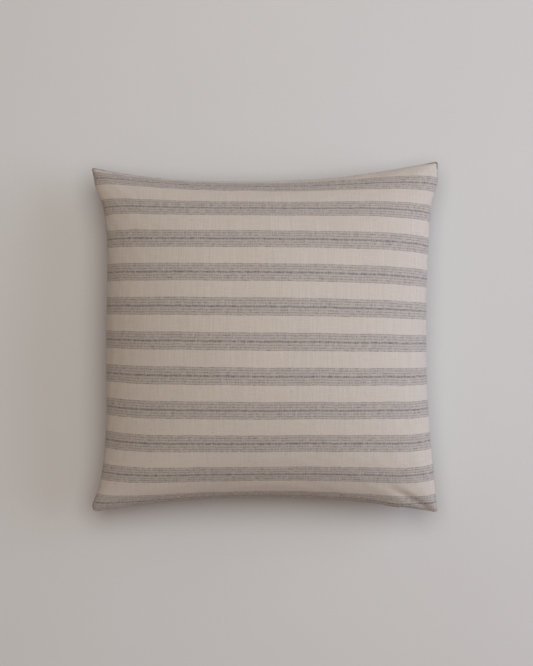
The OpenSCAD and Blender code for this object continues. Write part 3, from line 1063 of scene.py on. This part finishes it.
@dataclass
class Cover:
    """The removable linen cover: two panels, their allowances, and the threads that join them."""

    seams: SeamPlan
    finishes: Finishes
    rise: float
    depth: float
    cloth: ClothSettings = field(default_factory=ClothSettings)
    cut: Cut = Cut()
    creases: Creases = Creases()
    cells: int = 112
    fine: int = 192
    linen: float = 0.8 * MM
    half_gap: float = 0.15 * MM
    half_lip: float = 1.0 * MM
    fold_in: float = 2.2 * MM
    lip_in: float = 0.9 * MM
    pocket_end: float = 6.4 * MM
    pocket: float = 3.9 * MM
    tape_in: float = 8.6 * MM
    tape_level: float = 0.95 * MM
    allowance: float = 15 * MM
    overlock_in: float = 13 * MM
    overlock_pitch: float = 2.4 * MM
    zip_reach: float = 206 * MM
    stitch: float = 3.0 * MM
    front: np.ndarray = field(init=False)
    back: np.ndarray = field(init=False)

    def zipness(self, x: np.ndarray) -> np.ndarray:
        """1 along the zip, falling to 0 where the seam is sewn again."""
        return 1 - smooth(np.abs(x), self.zip_reach, self.zip_reach + 9 * MM)

    def blown(self, a: np.ndarray, b: np.ndarray, flat: bool) -> tuple[np.ndarray, np.ndarray]:
        """The shape that the filling gives a panel, evenly spread along its arcs.

        An elliptical dome stands on the seams. The underside's is filled out and cut off level where it
        rests. Soft lumps of filling, a fold at one corner and an overhang by the zip's closed end are added.

        Args:
            a: Shares across.
            b: Shares along.
            flat: Whether it is the underside.

        Returns:
            Points, and each one's distance in from the nearest seam.
        """
        reach = self.depth if flat else self.rise
        ratio = reach / self.seams.edge(np.array(0.0))
        x, y = a.copy(), b.copy()
        for _ in range(12):
            x = ellipse_share(a, ratio * np.sqrt(np.clip(1 - y * y, 0, 1)))
            y = ellipse_share(b, ratio * np.sqrt(np.clip(1 - x * x, 0, 1)))
        inset = np.minimum(1 - np.abs(x), 1 - np.abs(y)) * self.seams.corner
        sign = -1.0 if flat else 1.0
        height = crown(x, y, reach, flat)
        if not flat:
            height = height + self.creases.height(x, y, self.seams.corner)
        spots = self.seams.lay(x, y, 0.0, sign * height)
        zipped = self.zipness(spots[..., 0])
        rim = at_rim(a, b)
        lip = self.half_gap + (self.half_lip - self.half_gap) * zipped * (b == -1)
        droop = self.seams.lie(*self.seams.flat_place(x, y))[2]
        spots[..., 2] = np.where(rim, self.seams.level + droop + sign * lip, spots[..., 2])
        wall = self.wall_row(b) & (np.abs(a) < 1)
        _, edge_y = self.seams.flat_place(a, -np.ones_like(b))
        wall_z = self.seams.level + sign * (self.half_lip + self.pocket)
        share = zipped * wall
        spots[..., 1] = spots[..., 1] * (1 - share) + edge_y * share
        spots[..., 2] = spots[..., 2] * (1 - share) + wall_z * share
        if not flat:
            arc = (b + 1) * self.cut.half
            spots[..., 1] -= self.creases.forward(spots[..., 0], arc) * ~wall * ~rim
        return spots, inset

    def wall_row(self, b: np.ndarray) -> np.ndarray:
        """Whether points are in the row next to the zip's edge, which stands up over the slider's channel."""
        return np.isclose(b, -1 + 2 / self.cells)

    def eased(self, start: np.ndarray, a: np.ndarray, b: np.ndarray, flat: bool) -> np.ndarray:
        """The flat cut of a panel: its own arc lengths both ways from its middle, and a little ease.

        Args:
            start: The blown shape.
            a: Shares across.
            b: Shares along.
            flat: Whether it is the underside.

        Returns:
            Flat points at the seam's level.
        """
        middle = self.cells // 2
        u = np.cumsum(np.linalg.norm(np.diff(start, axis=1), axis=2), axis=1)
        v = np.cumsum(np.linalg.norm(np.diff(start, axis=0), axis=2), axis=0)
        u = np.concatenate([np.zeros((len(u), 1)), u], axis=1)
        v = np.concatenate([np.zeros((1, v.shape[1])), v], axis=0)
        u, v = u - u[:, middle : middle + 1], v - v[middle : middle + 1]
        near = np.maximum(np.abs(a), np.abs(b)) ** 8
        more = self.cloth.corner_ease * bump(a, 0.78, 0.2) * smooth(b, 0.75, 1.0) * (not flat)
        ease = 1 + self.cloth.ease + self.cloth.seam_ease * near + more
        return np.stack([u * ease, v * ease, np.full_like(u, self.seams.level)], axis=-1)

    def simulate(self, flat: np.ndarray, sewn: np.ndarray, hold: np.ndarray) -> np.ndarray:
        """Draws the flat cut onto the seams, with air under it, and returns where the cloth settles.

        Args:
            flat: Both flat panels, one after the other.
            sewn: The same points on the blown shape.
            hold: How firmly each point is held to that shape; 1 at the seams.

        Returns:
            The settled points.
        """
        count = (self.cells + 1) ** 2
        quads = grid_faces(self.cells + 1, self.cells + 1)
        piece = mesh_object("settling", flat, np.concatenate([quads, quads[:, ::-1] + count]))
        piece.shape_key_add(name="flat")
        key = piece.shape_key_add(name="sewn")
        key.data.foreach_set("co", sewn.astype(np.float32).ravel())
        for frame, value in ((1, 0.0), (self.cloth.draw_in, 1.0)):
            key.value = value
            key.keyframe_insert("value", frame=frame)
        group = piece.vertex_groups.new(name="held")
        for value in np.unique(hold):
            group.add(np.nonzero(hold == value)[0].tolist(), float(value), "REPLACE")
        cloth = piece.modifiers.new("cloth", "CLOTH")
        self.cloth.give(cloth.settings, group.name)
        cloth.collision_settings.use_collision = False
        scene = bpy.context.scene
        scene.frame_start, scene.frame_end = 1, self.cloth.frames
        cloth.point_cache.frame_start, cloth.point_cache.frame_end = 1, self.cloth.frames
        for frame in range(1, self.cloth.frames + 1):
            scene.frame_set(frame)
        settled = piece.evaluated_get(bpy.context.evaluated_depsgraph_get())
        points = np.empty(len(flat) * 3, np.float32)
        settled.data.vertices.foreach_get("co", points)
        scene.frame_set(1)
        mesh = piece.data
        bpy.data.objects.remove(piece)
        bpy.data.meshes.remove(mesh)
        return points.reshape(-1, 3).astype(float)

    def beside_zip(self, grid: np.ndarray, b: np.ndarray, full: float, end: float) -> np.ndarray:
        """1 over the slider's channel, from the zip's edge up to full, and 0 from end on and past the zip."""
        return self.zipness(grid[..., 0]) * (1 - smooth((b + 1) * self.cut.half, full, end))

    def cleared(self, grid: np.ndarray, inset: np.ndarray, b: np.ndarray, sign: float) -> np.ndarray:
        """Keeps a panel clear of its own allowance, and of the slider's channel along the zip.

        The height over the seam is at least a little more than the allowance's, growing inwards, and more
        than the channel's beside the zip.

        Args:
            grid: The panel's points.
            inset: Each one's distance in from the seam.
            b: Shares along.
            sign: 1 for the front, -1 for the back.

        Returns:
            The points, raised where they were too low.
        """
        high = sign * (grid[..., 2] - self.seams.level)
        least = 1.0 * MM + 0.16 * np.minimum(inset, 20 * MM)
        least = np.maximum(least, (self.pocket + 1.15 * MM) * self.beside_zip(grid, b, 14 * MM, 22 * MM))
        inner = inset > 0.05 * MM
        grid[..., 2] = np.where(inner, self.seams.level + sign * np.maximum(high, least), grid[..., 2])
        return grid

    def settle(self) -> None:
        """Works out both panels' outer surfaces, and keeps them on a fine grid."""
        axis = np.linspace(-1, 1, self.cells + 1)
        a, b = np.meshgrid(axis, axis)
        starts = [self.blown(a, b, flat) for flat in (False, True)]
        flats = [self.eased(start, a, b, flat) for (start, _), flat in zip(starts, (False, True))]
        sewn = np.concatenate([start.reshape(-1, 3) for start, _ in starts])
        rim = at_rim(a, b)
        hold = []
        for start, _ in starts:
            firm = rim | (self.wall_row(b) & (self.zipness(start[..., 0]) > 0.5))
            hold.append(np.where(firm, 1.0, self.cloth.hold).ravel())
        settled = sewn
        settled = self.simulate(np.concatenate([f.reshape(-1, 3) for f in flats]), sewn, np.concatenate(hold))
        move = self.cloth.kept(settled - sewn, a, b)
        front = starts[0][0] + move[0]
        rest = starts[1][0][..., 2]
        back = starts[1][0] + move[1] * smooth(rest, 1 * MM, 9 * MM)[..., None]
        front = self.cleared(front, starts[0][1], b, 1.0)
        back = self.cleared(back, starts[1][1], b, -1.0)
        self.front = finer(front, self.fine)
        self.back = finer(back, self.fine)
        self.back[..., 2] = np.maximum(self.back[..., 2], 0)

    def shares(self) -> tuple[np.ndarray, np.ndarray]:
        """Shares across and along of the fine grid's points."""
        axis = np.linspace(-1, 1, self.fine + 1)
        return tuple(np.meshgrid(axis, axis))

    def wrong_side(self, grid: np.ndarray, sign: float) -> np.ndarray:
        """A panel's inner face: the outer one moved in by the linen along its normals, clear of the allowance.

        Args:
            grid: Its outer surface.
            sign: 1 for the front, -1 for the back.

        Returns:
            The inner face's points.
        """
        wrong = grid - normals(grid) * sign * self.linen
        beside = self.beside_zip(grid, self.shares()[1], 10 * MM, 14 * MM)
        least = (self.pocket + self.linen + CLEAR) * beside + (self.half_gap + self.linen) * (1 - beside)
        high = np.maximum(sign * (wrong[..., 2] - self.seams.level), least)
        wrong[..., 2] = self.seams.level + sign * high
        return wrong

    def panel(self, name: str, node: str, grid: np.ndarray, sign: float) -> bpy.types.Object:
        """One panel as a closed skin: its face, the allowance turned in, and its wrong side.

        Args:
            name: The piece's name.
            node: The CAD node that it replaces.
            grid: Its outer surface.
            sign: 1 for the front, -1 for the back.

        Returns:
            The piece.
        """
        a, b = self.shares()
        wrong = self.wrong_side(grid, sign)
        j, i = rim_cells(self.fine)
        ra, rb = a[j, i], b[j, i]
        zipped = self.zipness(grid[j, i, 0]) * (rb == -1)
        upper = self.half_gap + self.linen
        over = self.linen
        runs = [(self.lip_in, self.half_gap, self.pocket), (self.pocket_end, self.half_gap, self.pocket),
                (self.tape_in, self.half_gap, self.tape_level), (self.allowance, self.half_gap, self.tape_level),
                (self.allowance, upper, self.tape_level + over), (self.tape_in + over, upper, self.tape_level + over),
                (self.pocket_end + over / 2, upper, self.pocket + over)]
        loops = [self.seams.lay(ra, rb, inset, sign * (low + (high - low) * zipped)) for inset, low, high in runs]
        shut = (self.fold_in, upper, self.pocket + over + 0.1 * MM)
        wrong[j, i] = self.seams.lay(ra, rb, shut[0], sign * (shut[1] + (shut[2] - shut[1]) * zipped))
        points, faces = skin(grid, loops, wrong, sign < 0)
        places = [np.stack([a * self.cut.half, self.cut.across(a, b)], axis=-1).reshape(-1, 2)]
        rims = [np.minimum(1 - np.abs(a), 1 - np.abs(b)).ravel() * self.cut.half]
        for inset, _, _ in runs:
            more = 1 + inset / self.cut.half
            places.append(np.stack([ra * more * self.cut.half, self.cut.across(ra * more, rb * more)], axis=-1))
            rims.append(np.full(len(ra), inset))
        places, rims = np.concatenate([*places, places[0]]), np.concatenate([*rims, rims[0]])
        piece = mesh_object(name, points, faces, places, rims)
        self.finishes.dress(piece, Slot.LINEN, node)
        return piece

    def stitch_row(self, side: int, start: float, end: float, inset: float, height: float) -> np.ndarray:
        """One row of lockstitch as a wavy thread: it lies on the cloth and dips at each needle hole.

        Args:
            side: Which seam.
            start: Share of the side where it starts.
            end: Share where it ends.
            inset: Distance in from the seam.
            height: Height over the seam, negative under it.

        Returns:
            The thread's path.
        """
        count = max(8, int(abs(end - start) * self.seams.corner / self.stitch)) * 6
        share = np.linspace(start, end, count + 1)
        turn = share * self.seams.corner / self.stitch * math.pi
        return self.seams.side(side, share, inset, height - np.sign(height) * needle_dip(turn))

    def seam_thread(self) -> None:
        """Lockstitch on both faces of the joined allowances: three sides, and the zip side's two ends."""
        inset, top = self.fold_in + 1 * MM, self.half_gap + self.linen + THREAD_RADIUS + 0.05 * MM
        run = 1 - 4 * MM / self.seams.corner
        short = (self.zip_reach + 12 * MM) / self.seams.corner
        spans = [(1, -run, run), (2, -run, run), (3, -run, run), (0, -run, -short), (0, short, run)]
        paths = [self.stitch_row(side, low, high, inset, sign * top) for sign in (1, -1) for side, low, high in spans]
        piece = threads("seam_lockstitch", paths, THREAD_RADIUS, 6)
        self.finishes.dress(piece, Slot.THREAD, "seam_thread")

    def wrap(self, side: int, run: float, low: float, high: float) -> np.ndarray:
        """Overlock as a thread wound round a raw edge: its turns follow a flat oval, carried along the side.

        Args:
            side: Which seam.
            run: Share of the side that it covers each way from the middle.
            low: Lower face of the edge, over the seam.
            high: Upper face of the edge.

        Returns:
            The thread's path.
        """
        turns = int(2 * run * self.seams.corner / self.overlock_pitch)
        share = np.linspace(-run, run, turns * 10 + 1)
        angle = np.linspace(0, 2 * math.pi * turns, turns * 10 + 1)
        half = (self.allowance - self.overlock_in) / 2 + 0.15 * MM
        across = self.overlock_in + half + 0.1 * MM - half * squared(np.cos(angle), 0.6)
        middle, reach = (low + high) / 2, (high - low) / 2 + 0.22 * MM
        return self.seams.side(side, share, across, middle + reach * squared(np.sin(angle), 0.5))

    def overlock_thread(self) -> None:
        """Overlocking: round both allowances together where they are sewn, and round each one by the zip."""
        joined = self.half_gap + self.linen
        run = 1 - 5 * MM / self.seams.corner
        zip_run = 195 * MM / self.seams.corner
        paths = [self.wrap(side, run, -joined, joined) for side in (1, 2, 3)]
        paths += [self.wrap(0, zip_run, *sorted((sign * self.tape_level, sign * (self.tape_level + self.linen))))
                  for sign in (1, -1)]
        piece = threads("overlock", paths, 0.17 * MM, 4, coiled=True)
        self.finishes.dress(piece, Slot.THREAD, "overlock_thread")

    def care_label(self) -> None:
        """A blank woven ribbon caught in the right-hand seam, whose free end lifts off the allowance."""
        low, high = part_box("care_label")
        along, across = np.meshgrid(np.linspace(low.y, high.y, 25), np.linspace(12.7 * MM, 3.2 * MM, 13))
        rise = 0.8 * MM * smooth(across, 4 * MM, 14 * MM) * (1 + 0.2 * np.sin((along - low.y) * 260))
        top = self.seams.side(1, along / self.seams.corner, across, high.z - self.seams.level + rise)
        leaf(self.finishes, "care_ribbon", "care_label", top, high.z - low.z, Slot.RIBBON)

    def build(self) -> None:
        """Makes every piece of the cover."""
        self.settle()
        self.panel("linen_front", "front_panel", self.front, 1.0)
        self.panel("linen_back", "back_panel", self.back, -1.0)
        self.seam_thread()
        self.overlock_thread()
        self.care_label()


def leaf(finishes: Finishes, name: str, node: str, top: np.ndarray, thick: float, slot: Slot) -> bpy.types.Object:
    """A thin closed leaf of ribbon: a grid of points, the same grid lower down, and its four edges.

    Args:
        finishes: The finishes.
        name: The piece's name.
        node: The CAD node that it replaces.
        top: Its upper face's points, rows from one long edge to the other.
        thick: Its thickness.
        slot: Its material slot.

    Returns:
        The piece.
    """
    rows, columns = top.shape[:2]
    under = top - np.array([0.0, 0.0, thick * 0.8])
    faces = grid_faces(rows, columns)
    index = np.arange(rows * columns).reshape(rows, columns)
    edge = np.concatenate([index[0, :-1], index[:-1, -1], index[-1, :0:-1], index[:0:-1, 0]])
    sides = np.stack([np.roll(edge, -1), edge, edge + rows * columns, np.roll(edge, -1) + rows * columns], axis=-1)
    faces = np.concatenate([faces, faces[:, ::-1] + rows * columns, sides])
    if normals(top)[..., 2].mean() < 0:
        faces = faces[:, ::-1]
    flat = (top - top[0, 0])[..., :2].reshape(-1, 2)
    points = np.concatenate([top.reshape(-1, 3), under.reshape(-1, 3)])
    return finishes.dress(mesh_object(name, points, faces, np.concatenate([flat, flat]), sharp=40), slot, node)


# ---- the concealed zip ----


@dataclass
class Zip:
    """The concealed zip in the lower seam: two tapes with coils, the rows that hold them, and its metal."""

    seams: SeamPlan
    finishes: Finishes
    tape_half: float = 199 * MM
    coil_half: float = 195 * MM
    # The tape's edges in from the seam, and its faces over it; the coil's middle and reach, in and over.
    tape: tuple[float, float] = (5.05 * MM, 12.65 * MM)
    tape_level: tuple[float, float] = (0.2 * MM, 0.7 * MM)
    coil_middle: tuple[float, float] = (3.8 * MM, 1.2 * MM)
    coil_reach: tuple[float, float] = (0.88 * MM, 0.78 * MM)
    wire: float = 0.3 * MM
    pitch: float = 1.5 * MM
    stitch_in: float = 11.125 * MM
    stitch_level: float = 2.05 * MM
    stitch: float = 2.8 * MM
    tack_ends: tuple[float, float] = (199.3 * MM, 202.7 * MM)
    tack_half: float = 1.25 * MM
    tacks: int = 8

    def tape_piece(self, name: str, node: str, sign: float) -> None:
        """One tape: a flat oval profile carried along the seam.

        Args:
            name: The piece's name.
            node: The CAD node that it replaces.
            sign: 1 for the front's tape, -1 for the back's.
        """
        along = np.linspace(-self.tape_half, self.tape_half, 300)
        turn = np.linspace(math.pi, -math.pi, 24, endpoint=False)
        middle, reach = sum(self.tape) / 2, (self.tape[1] - self.tape[0]) / 2
        level, half = sum(self.tape_level) / 2, (self.tape_level[1] - self.tape_level[0]) / 2
        across = middle + reach * squared(np.cos(turn), 0.5)
        high = half * squared(np.sin(turn), 0.25)
        waver = 0.08 * MM * np.sin(along * 420)
        rings = self.seams.on_chain(along[:, None], across[None], sign * level + high + waver[:, None] * 0.6)
        points, faces = closed(rings, rings[[0, -1]].mean(axis=1))
        cut = np.stack(np.broadcast_arrays(along[:, None], across[None]), axis=-1).reshape(-1, 2)
        ends = np.array([[-self.tape_half, middle], [self.tape_half, middle]])
        piece = mesh_object(name, points, faces, np.concatenate([cut, ends]), sharp=50)
        self.finishes.dress(piece, Slot.TAPE, node)

    def coil_piece(self, name: str, node: str, sign: float) -> None:
        """One coil: a wire wound in a flat oval along the tape's edge.

        Args:
            name: The piece's name.
            node: The CAD node that it replaces.
            sign: 1 for the front's coil, -1 for the back's.
        """
        half = self.coil_half - self.wire
        turns = int(2 * half / self.pitch)
        turn = np.linspace(0, 2 * math.pi * turns, 12 * turns + 1)
        along = np.linspace(-half, half, len(turn))
        across = self.coil_middle[0] + self.coil_reach[0] * np.cos(turn)
        high = self.coil_middle[1] + self.coil_reach[1] * np.sin(turn)
        path = self.seams.on_chain(along, across, sign * high)
        self.finishes.dress(threads(name, [path], self.wire, 5, coiled=True), Slot.COIL, node)

    def tape_stitching(self) -> None:
        """The rows that hold each tape to its allowance, on the allowance's far face."""
        count = int(2 * self.coil_half / self.stitch) * 8
        along = np.linspace(-self.coil_half, self.coil_half, count + 1)
        dip = needle_dip(along / self.stitch * math.pi)
        paths = [self.seams.on_chain(along, self.stitch_in, sign * (self.stitch_level - dip)) for sign in (1, -1)]
        self.finishes.dress(threads("tape_lockstitch", paths, THREAD_RADIUS, 6), Slot.THREAD, "zip_stitching")

    def bar_tacks(self) -> None:
        """Close rows of upright stitches over the lips at both ends of the zip: level rings up a bowed path."""
        rise = np.linspace(-1, 1, 13)
        turn = np.linspace(0, 2 * math.pi, 7, endpoint=False)
        ring = np.stack([np.cos(turn), np.sin(turn), 0 * turn], axis=-1) * THREAD_RADIUS * 0.9
        tips = np.array([[0, 0, -0.15], [0, 0, 0.15]]) * MM
        skins = []
        for end in (-1, 1):
            for step in np.linspace(*self.tack_ends, self.tacks):
                across = -0.3 * MM + 0.12 * MM * rise**4
                path = self.seams.on_chain(np.full(len(rise), end * step), across, rise * self.tack_half)
                points, faces = closed(path[:, None] + ring, path[[0, -1]] + tips)
                skins.append((points, [face[::-1] for face in faces]))
        self.finishes.dress(mesh_object("bar_tacks", *together(skins), sharp=80), Slot.THREAD, "zip_bartacks")

    def build(self) -> None:
        """Makes every piece of the zip, and paints its metal."""
        for part, sign in (("front", 1.0), ("back", -1.0)):
            self.tape_piece("tape_" + part, "zip_tape_" + part, sign)
            self.coil_piece("coil_" + part, "zip_coil_" + part, sign)
        self.tape_stitching()
        self.bar_tacks()
        for name in ("zip_slider", "zip_pull", "zip_top_stop", "zip_bottom_stop"):
            self.finishes.dress(frame["nodes"][name], Slot.METAL)


# ---- the insert ----


@dataclass
class Insert:
    """The stuffed insert: a plain ticking case of two halves, its threads and label, and the filling."""

    seams: SeamPlan
    finishes: Finishes
    cover: Cover
    rise: float
    depth: float
    cells: int = 150
    inset: float = 18 * MM
    allowance: float = 24 * MM
    ticking: float = 0.5 * MM
    half_gap: float = 0.15 * MM
    fill_in: float = 26 * MM
    room: float = 0.35 * MM
    thinner: float = 1.3 * MM
    edge_half: float = 0.8 * MM
    cut: float = 480 * MM
    whips: int = 37
    gap_half: float = 74 * MM

    def shares(self) -> tuple[np.ndarray, np.ndarray]:
        """Shares across and along, closer together near the edges: each the sine of an even turn."""
        axis = np.sin(np.linspace(-math.pi / 2, math.pi / 2, self.cells + 1))
        return tuple(np.meshgrid(axis, axis))

    def half(self, sign: float, inset: float, reach: float, under: np.ndarray, gap: float) -> np.ndarray:
        """A half of the insert as a grid: its own crown, kept a gap inside what lies over it.

        Args:
            sign: 1 for the upper half, -1 for the lower.
            inset: How far in from the cover's seam its edge is.
            reach: Its height over the seam.
            under: The grid of what lies over it.
            gap: How far it stays inside that.

        Returns:
            Its points.
        """
        a, b = self.shares()
        points = self.seams.lay(a, b, inset, 0.0)
        room = sign * (height_at(under, points[..., 0], points[..., 1]) - self.seams.level) - gap
        near = 1 - np.maximum(np.abs(a), np.abs(b))
        pucker = 0.5 * MM * bump(near, 0.03, 0.03) * np.sin(np.where(np.abs(a) > np.abs(b), b, a) * 150)
        high = np.minimum(crown(a, b, reach, sign < 0) + pucker, room)
        points[..., 2] += sign * np.maximum(high, self.half_gap)
        return points

    def case(self, name: str, node: str, sign: float, reach: float) -> np.ndarray:
        """One half of the case as a closed skin with its allowance turned in.

        Args:
            name: The piece's name.
            node: The CAD node that it replaces.
            sign: 1 for the upper half, -1 for the lower.
            reach: Its height over the seam.

        Returns:
            The grid of its inner face.
        """
        linen = self.cover.front if sign > 0 else self.cover.back
        outer = self.half(sign, self.inset, reach, self.cover.wrong_side(linen, sign), self.room)
        a, b = self.shares()
        j, i = rim_cells(self.cells)
        upper = self.half_gap + self.ticking
        loops = [self.seams.lay(a[j, i], b[j, i], inset, sign * high)
                 for inset, high in ((self.allowance, self.half_gap), (self.allowance, upper))]
        inner = outer - normals(outer) * sign * self.ticking
        high = sign * (inner[..., 2] - self.seams.level)
        inner[..., 2] = self.seams.level + sign * np.maximum(high, upper + 0.1 * MM)
        inner[j, i] = self.seams.lay(a[j, i], b[j, i], self.inset + 3 * self.ticking, sign * upper)
        points, faces = skin(outer, loops, inner, sign < 0)
        cut = [np.stack([a, b], axis=-1).reshape(-1, 2)] + [np.stack([a[j, i], b[j, i]], axis=-1) * 1.025] * 2
        cut = np.concatenate([*cut, cut[0]]) * self.cut / 2
        piece = self.finishes.dress(mesh_object(name, points, faces, cut, sharp=60), Slot.TICKING, node)
        return inner

    def wadding(self, over: np.ndarray, under: np.ndarray) -> None:
        """The filling: two crowned faces that meet in a low edge, tufted all over.

        Args:
            over: The inner face of the case's upper half.
            under: The inner face of its lower half.
        """
        a, b = self.shares()
        top = self.half(1.0, self.fill_in, self.rise - self.thinner, over, CLEAR)
        low = self.half(-1.0, self.fill_in, self.depth - self.thinner, under, CLEAR)
        x, y = top[..., 0], top[..., 1]
        near = smooth(1 - np.maximum(np.abs(a), np.abs(b)), 0.0, 0.08)
        tufts = 0.5 + 0.5 * waves(x, y, 22 * MM, 11, 16)
        top[..., 2] = np.maximum(top[..., 2] - near * 1.6 * MM * tufts, self.seams.level + self.edge_half)
        low[..., 2] = np.minimum(low[..., 2] + near * 1.2 * MM * tufts, self.seams.level - self.edge_half)
        points, faces = skin(top, [], low, False)
        piece = self.finishes.dress(mesh_object("wadding", points, faces, sharp=80), Slot.FIBRE, "fill")

    def stitches(self) -> None:
        """The case's lockstitch on three sides, and the whip stitch that closes its stuffing gap."""
        share = np.linspace(-0.955, 0.955, 1080)
        turn = share * self.seams.corner / (3 * MM) * math.pi
        high = 0.95 * MM - needle_dip(turn)
        paths = [self.seams.side(side, share, self.inset + 3 * MM, sign * high)
                 for sign in (1, -1) for side in (1, 2, 3)]
        turn = np.linspace(0, 2 * math.pi * self.whips, self.whips * 14 + 1)
        along = np.linspace(-self.gap_half, self.gap_half, len(turn)) + 0.6 * MM * np.sin(turn)
        whip = self.seams.side(0, along / self.seams.corner, self.inset - 0.3 * MM + 0.25 * MM * np.cos(2 * turn),
                               0.75 * MM * np.sin(turn))
        for name, rows, node in (("case_lockstitch", paths, "insert_seam_thread"),
                                 ("closing_whipstitch", [whip], "insert_closing_stitch")):
            self.finishes.dress(threads(name, rows, THREAD_RADIUS, 6), Slot.WHITE_THREAD, node)

    def label(self) -> None:
        """A blank label on the case's underside."""
        low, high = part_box("insert_label")
        x, y = np.meshgrid(np.linspace(low.x, high.x, 31), np.linspace(low.y, high.y, 19))
        top = np.stack([x, y, high.z + 0.05 * MM * np.sin(x * 300) * np.sin(y * 250)], axis=-1)
        piece = leaf(self.finishes, "case_label", "insert_label", top, high.z - low.z, Slot.RIBBON)

    def build(self) -> None:
        """Makes every piece of the insert."""
        over = self.case("ticking_front", "insert_front", 1.0, self.rise)
        under = self.case("ticking_back", "insert_back", -1.0, self.depth)
        self.wadding(over, under)
        self.stitches()
        self.label()


# ---- the studio ----


@dataclass(frozen=True)
class Lamp:
    """A soft round lamp: its place, width, power and colour."""

    place: tuple[float, float, float]
    side: float
    power: float
    colour: Colour


@dataclass
class Studio:
    """A plain pale floor, wide soft lamps low on the right and overhead, the room's own light, and the camera."""

    level: float
    floor_half: float = 9.0
    distance: float = 4.0
    view_high: float = 0.9404
    look_at: tuple[float, float] = (2.8 * MM, 8.5 * MM)
    room: Colour = (0.2345, 0.160, 0.118)
    side: Lamp = Lamp((2.9, 0.6, 1.15), 2.7, 61.7, (0.846, 1.0, 1.227))
    top: Lamp = Lamp((0.2, 0.5, 2.6), 2.4, 42.6, (0.925, 1.0, 0.971))

    def floor(self) -> None:
        """The floor: one flat grid."""
        x, y = np.meshgrid(*[np.linspace(-self.floor_half, self.floor_half, 9)] * 2)
        floor = mesh_object("floor", np.stack([x, y, 0 * x], axis=-1), grid_faces(9, 9))
        floor.data.materials.append(PaleFloor().build())

    def lights(self) -> None:
        """The room's own warm light, and the two soft lamps, each looking at the pillow's middle."""
        world = bpy.data.worlds.new("room")
        world.use_nodes = True
        world.node_tree.nodes["Background"].inputs["Color"].default_value = (*self.room, 1)
        bpy.context.scene.world = world
        for name, lamp in (("side lamp", self.side), ("top lamp", self.top)):
            data = bpy.data.lights.new(name, "AREA")
            data.shape, data.size = "DISK", lamp.side
            data.energy, data.color = lamp.power, lamp.colour
            light = bpy.data.objects.new(name, data)
            light.location = lamp.place
            light.rotation_euler = (-Vector(lamp.place)).to_track_quat("-Z", "Y").to_euler()
            light.visible_camera = False
            bpy.context.scene.collection.objects.link(light)

    def camera(self) -> None:
        """The camera straight overhead. Its lens is the sensor's long side times distance over the view's height."""
        data = bpy.data.cameras.new("camera")
        data.lens = data.sensor_width * self.distance / self.view_high
        data.clip_start, data.clip_end = 0.1, 60.0
        camera = bpy.data.objects.new("camera", data)
        camera.location = (*self.look_at, self.level + self.distance)
        bpy.context.scene.collection.objects.link(camera)
        bpy.context.scene.camera = camera

    def build(self) -> None:
        """Sets up the studio."""
        self.floor()
        self.lights()
        self.camera()
        bpy.context.scene.view_settings.view_transform = "Standard"


def main() -> None:
    """Builds the cover, the zip, the insert and the studio in order."""
    logging.basicConfig(level=logging.INFO, format="%(name)s: %(message)s")
    seams = SeamPlan.from_frame(frame)
    finishes = Finishes()
    low, high = cad_box
    cover = Cover(seams, finishes, rise=high.z - seams.level, depth=seams.level - low.z)
    cover.build()
    Zip(seams, finishes).build()
    Insert(seams, finishes, cover, rise=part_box("insert_front")[1].z - seams.level,
           depth=seams.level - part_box("insert_back")[0].z).build()
    Studio(seams.level).build()


if __name__ == "__main__":
    main()
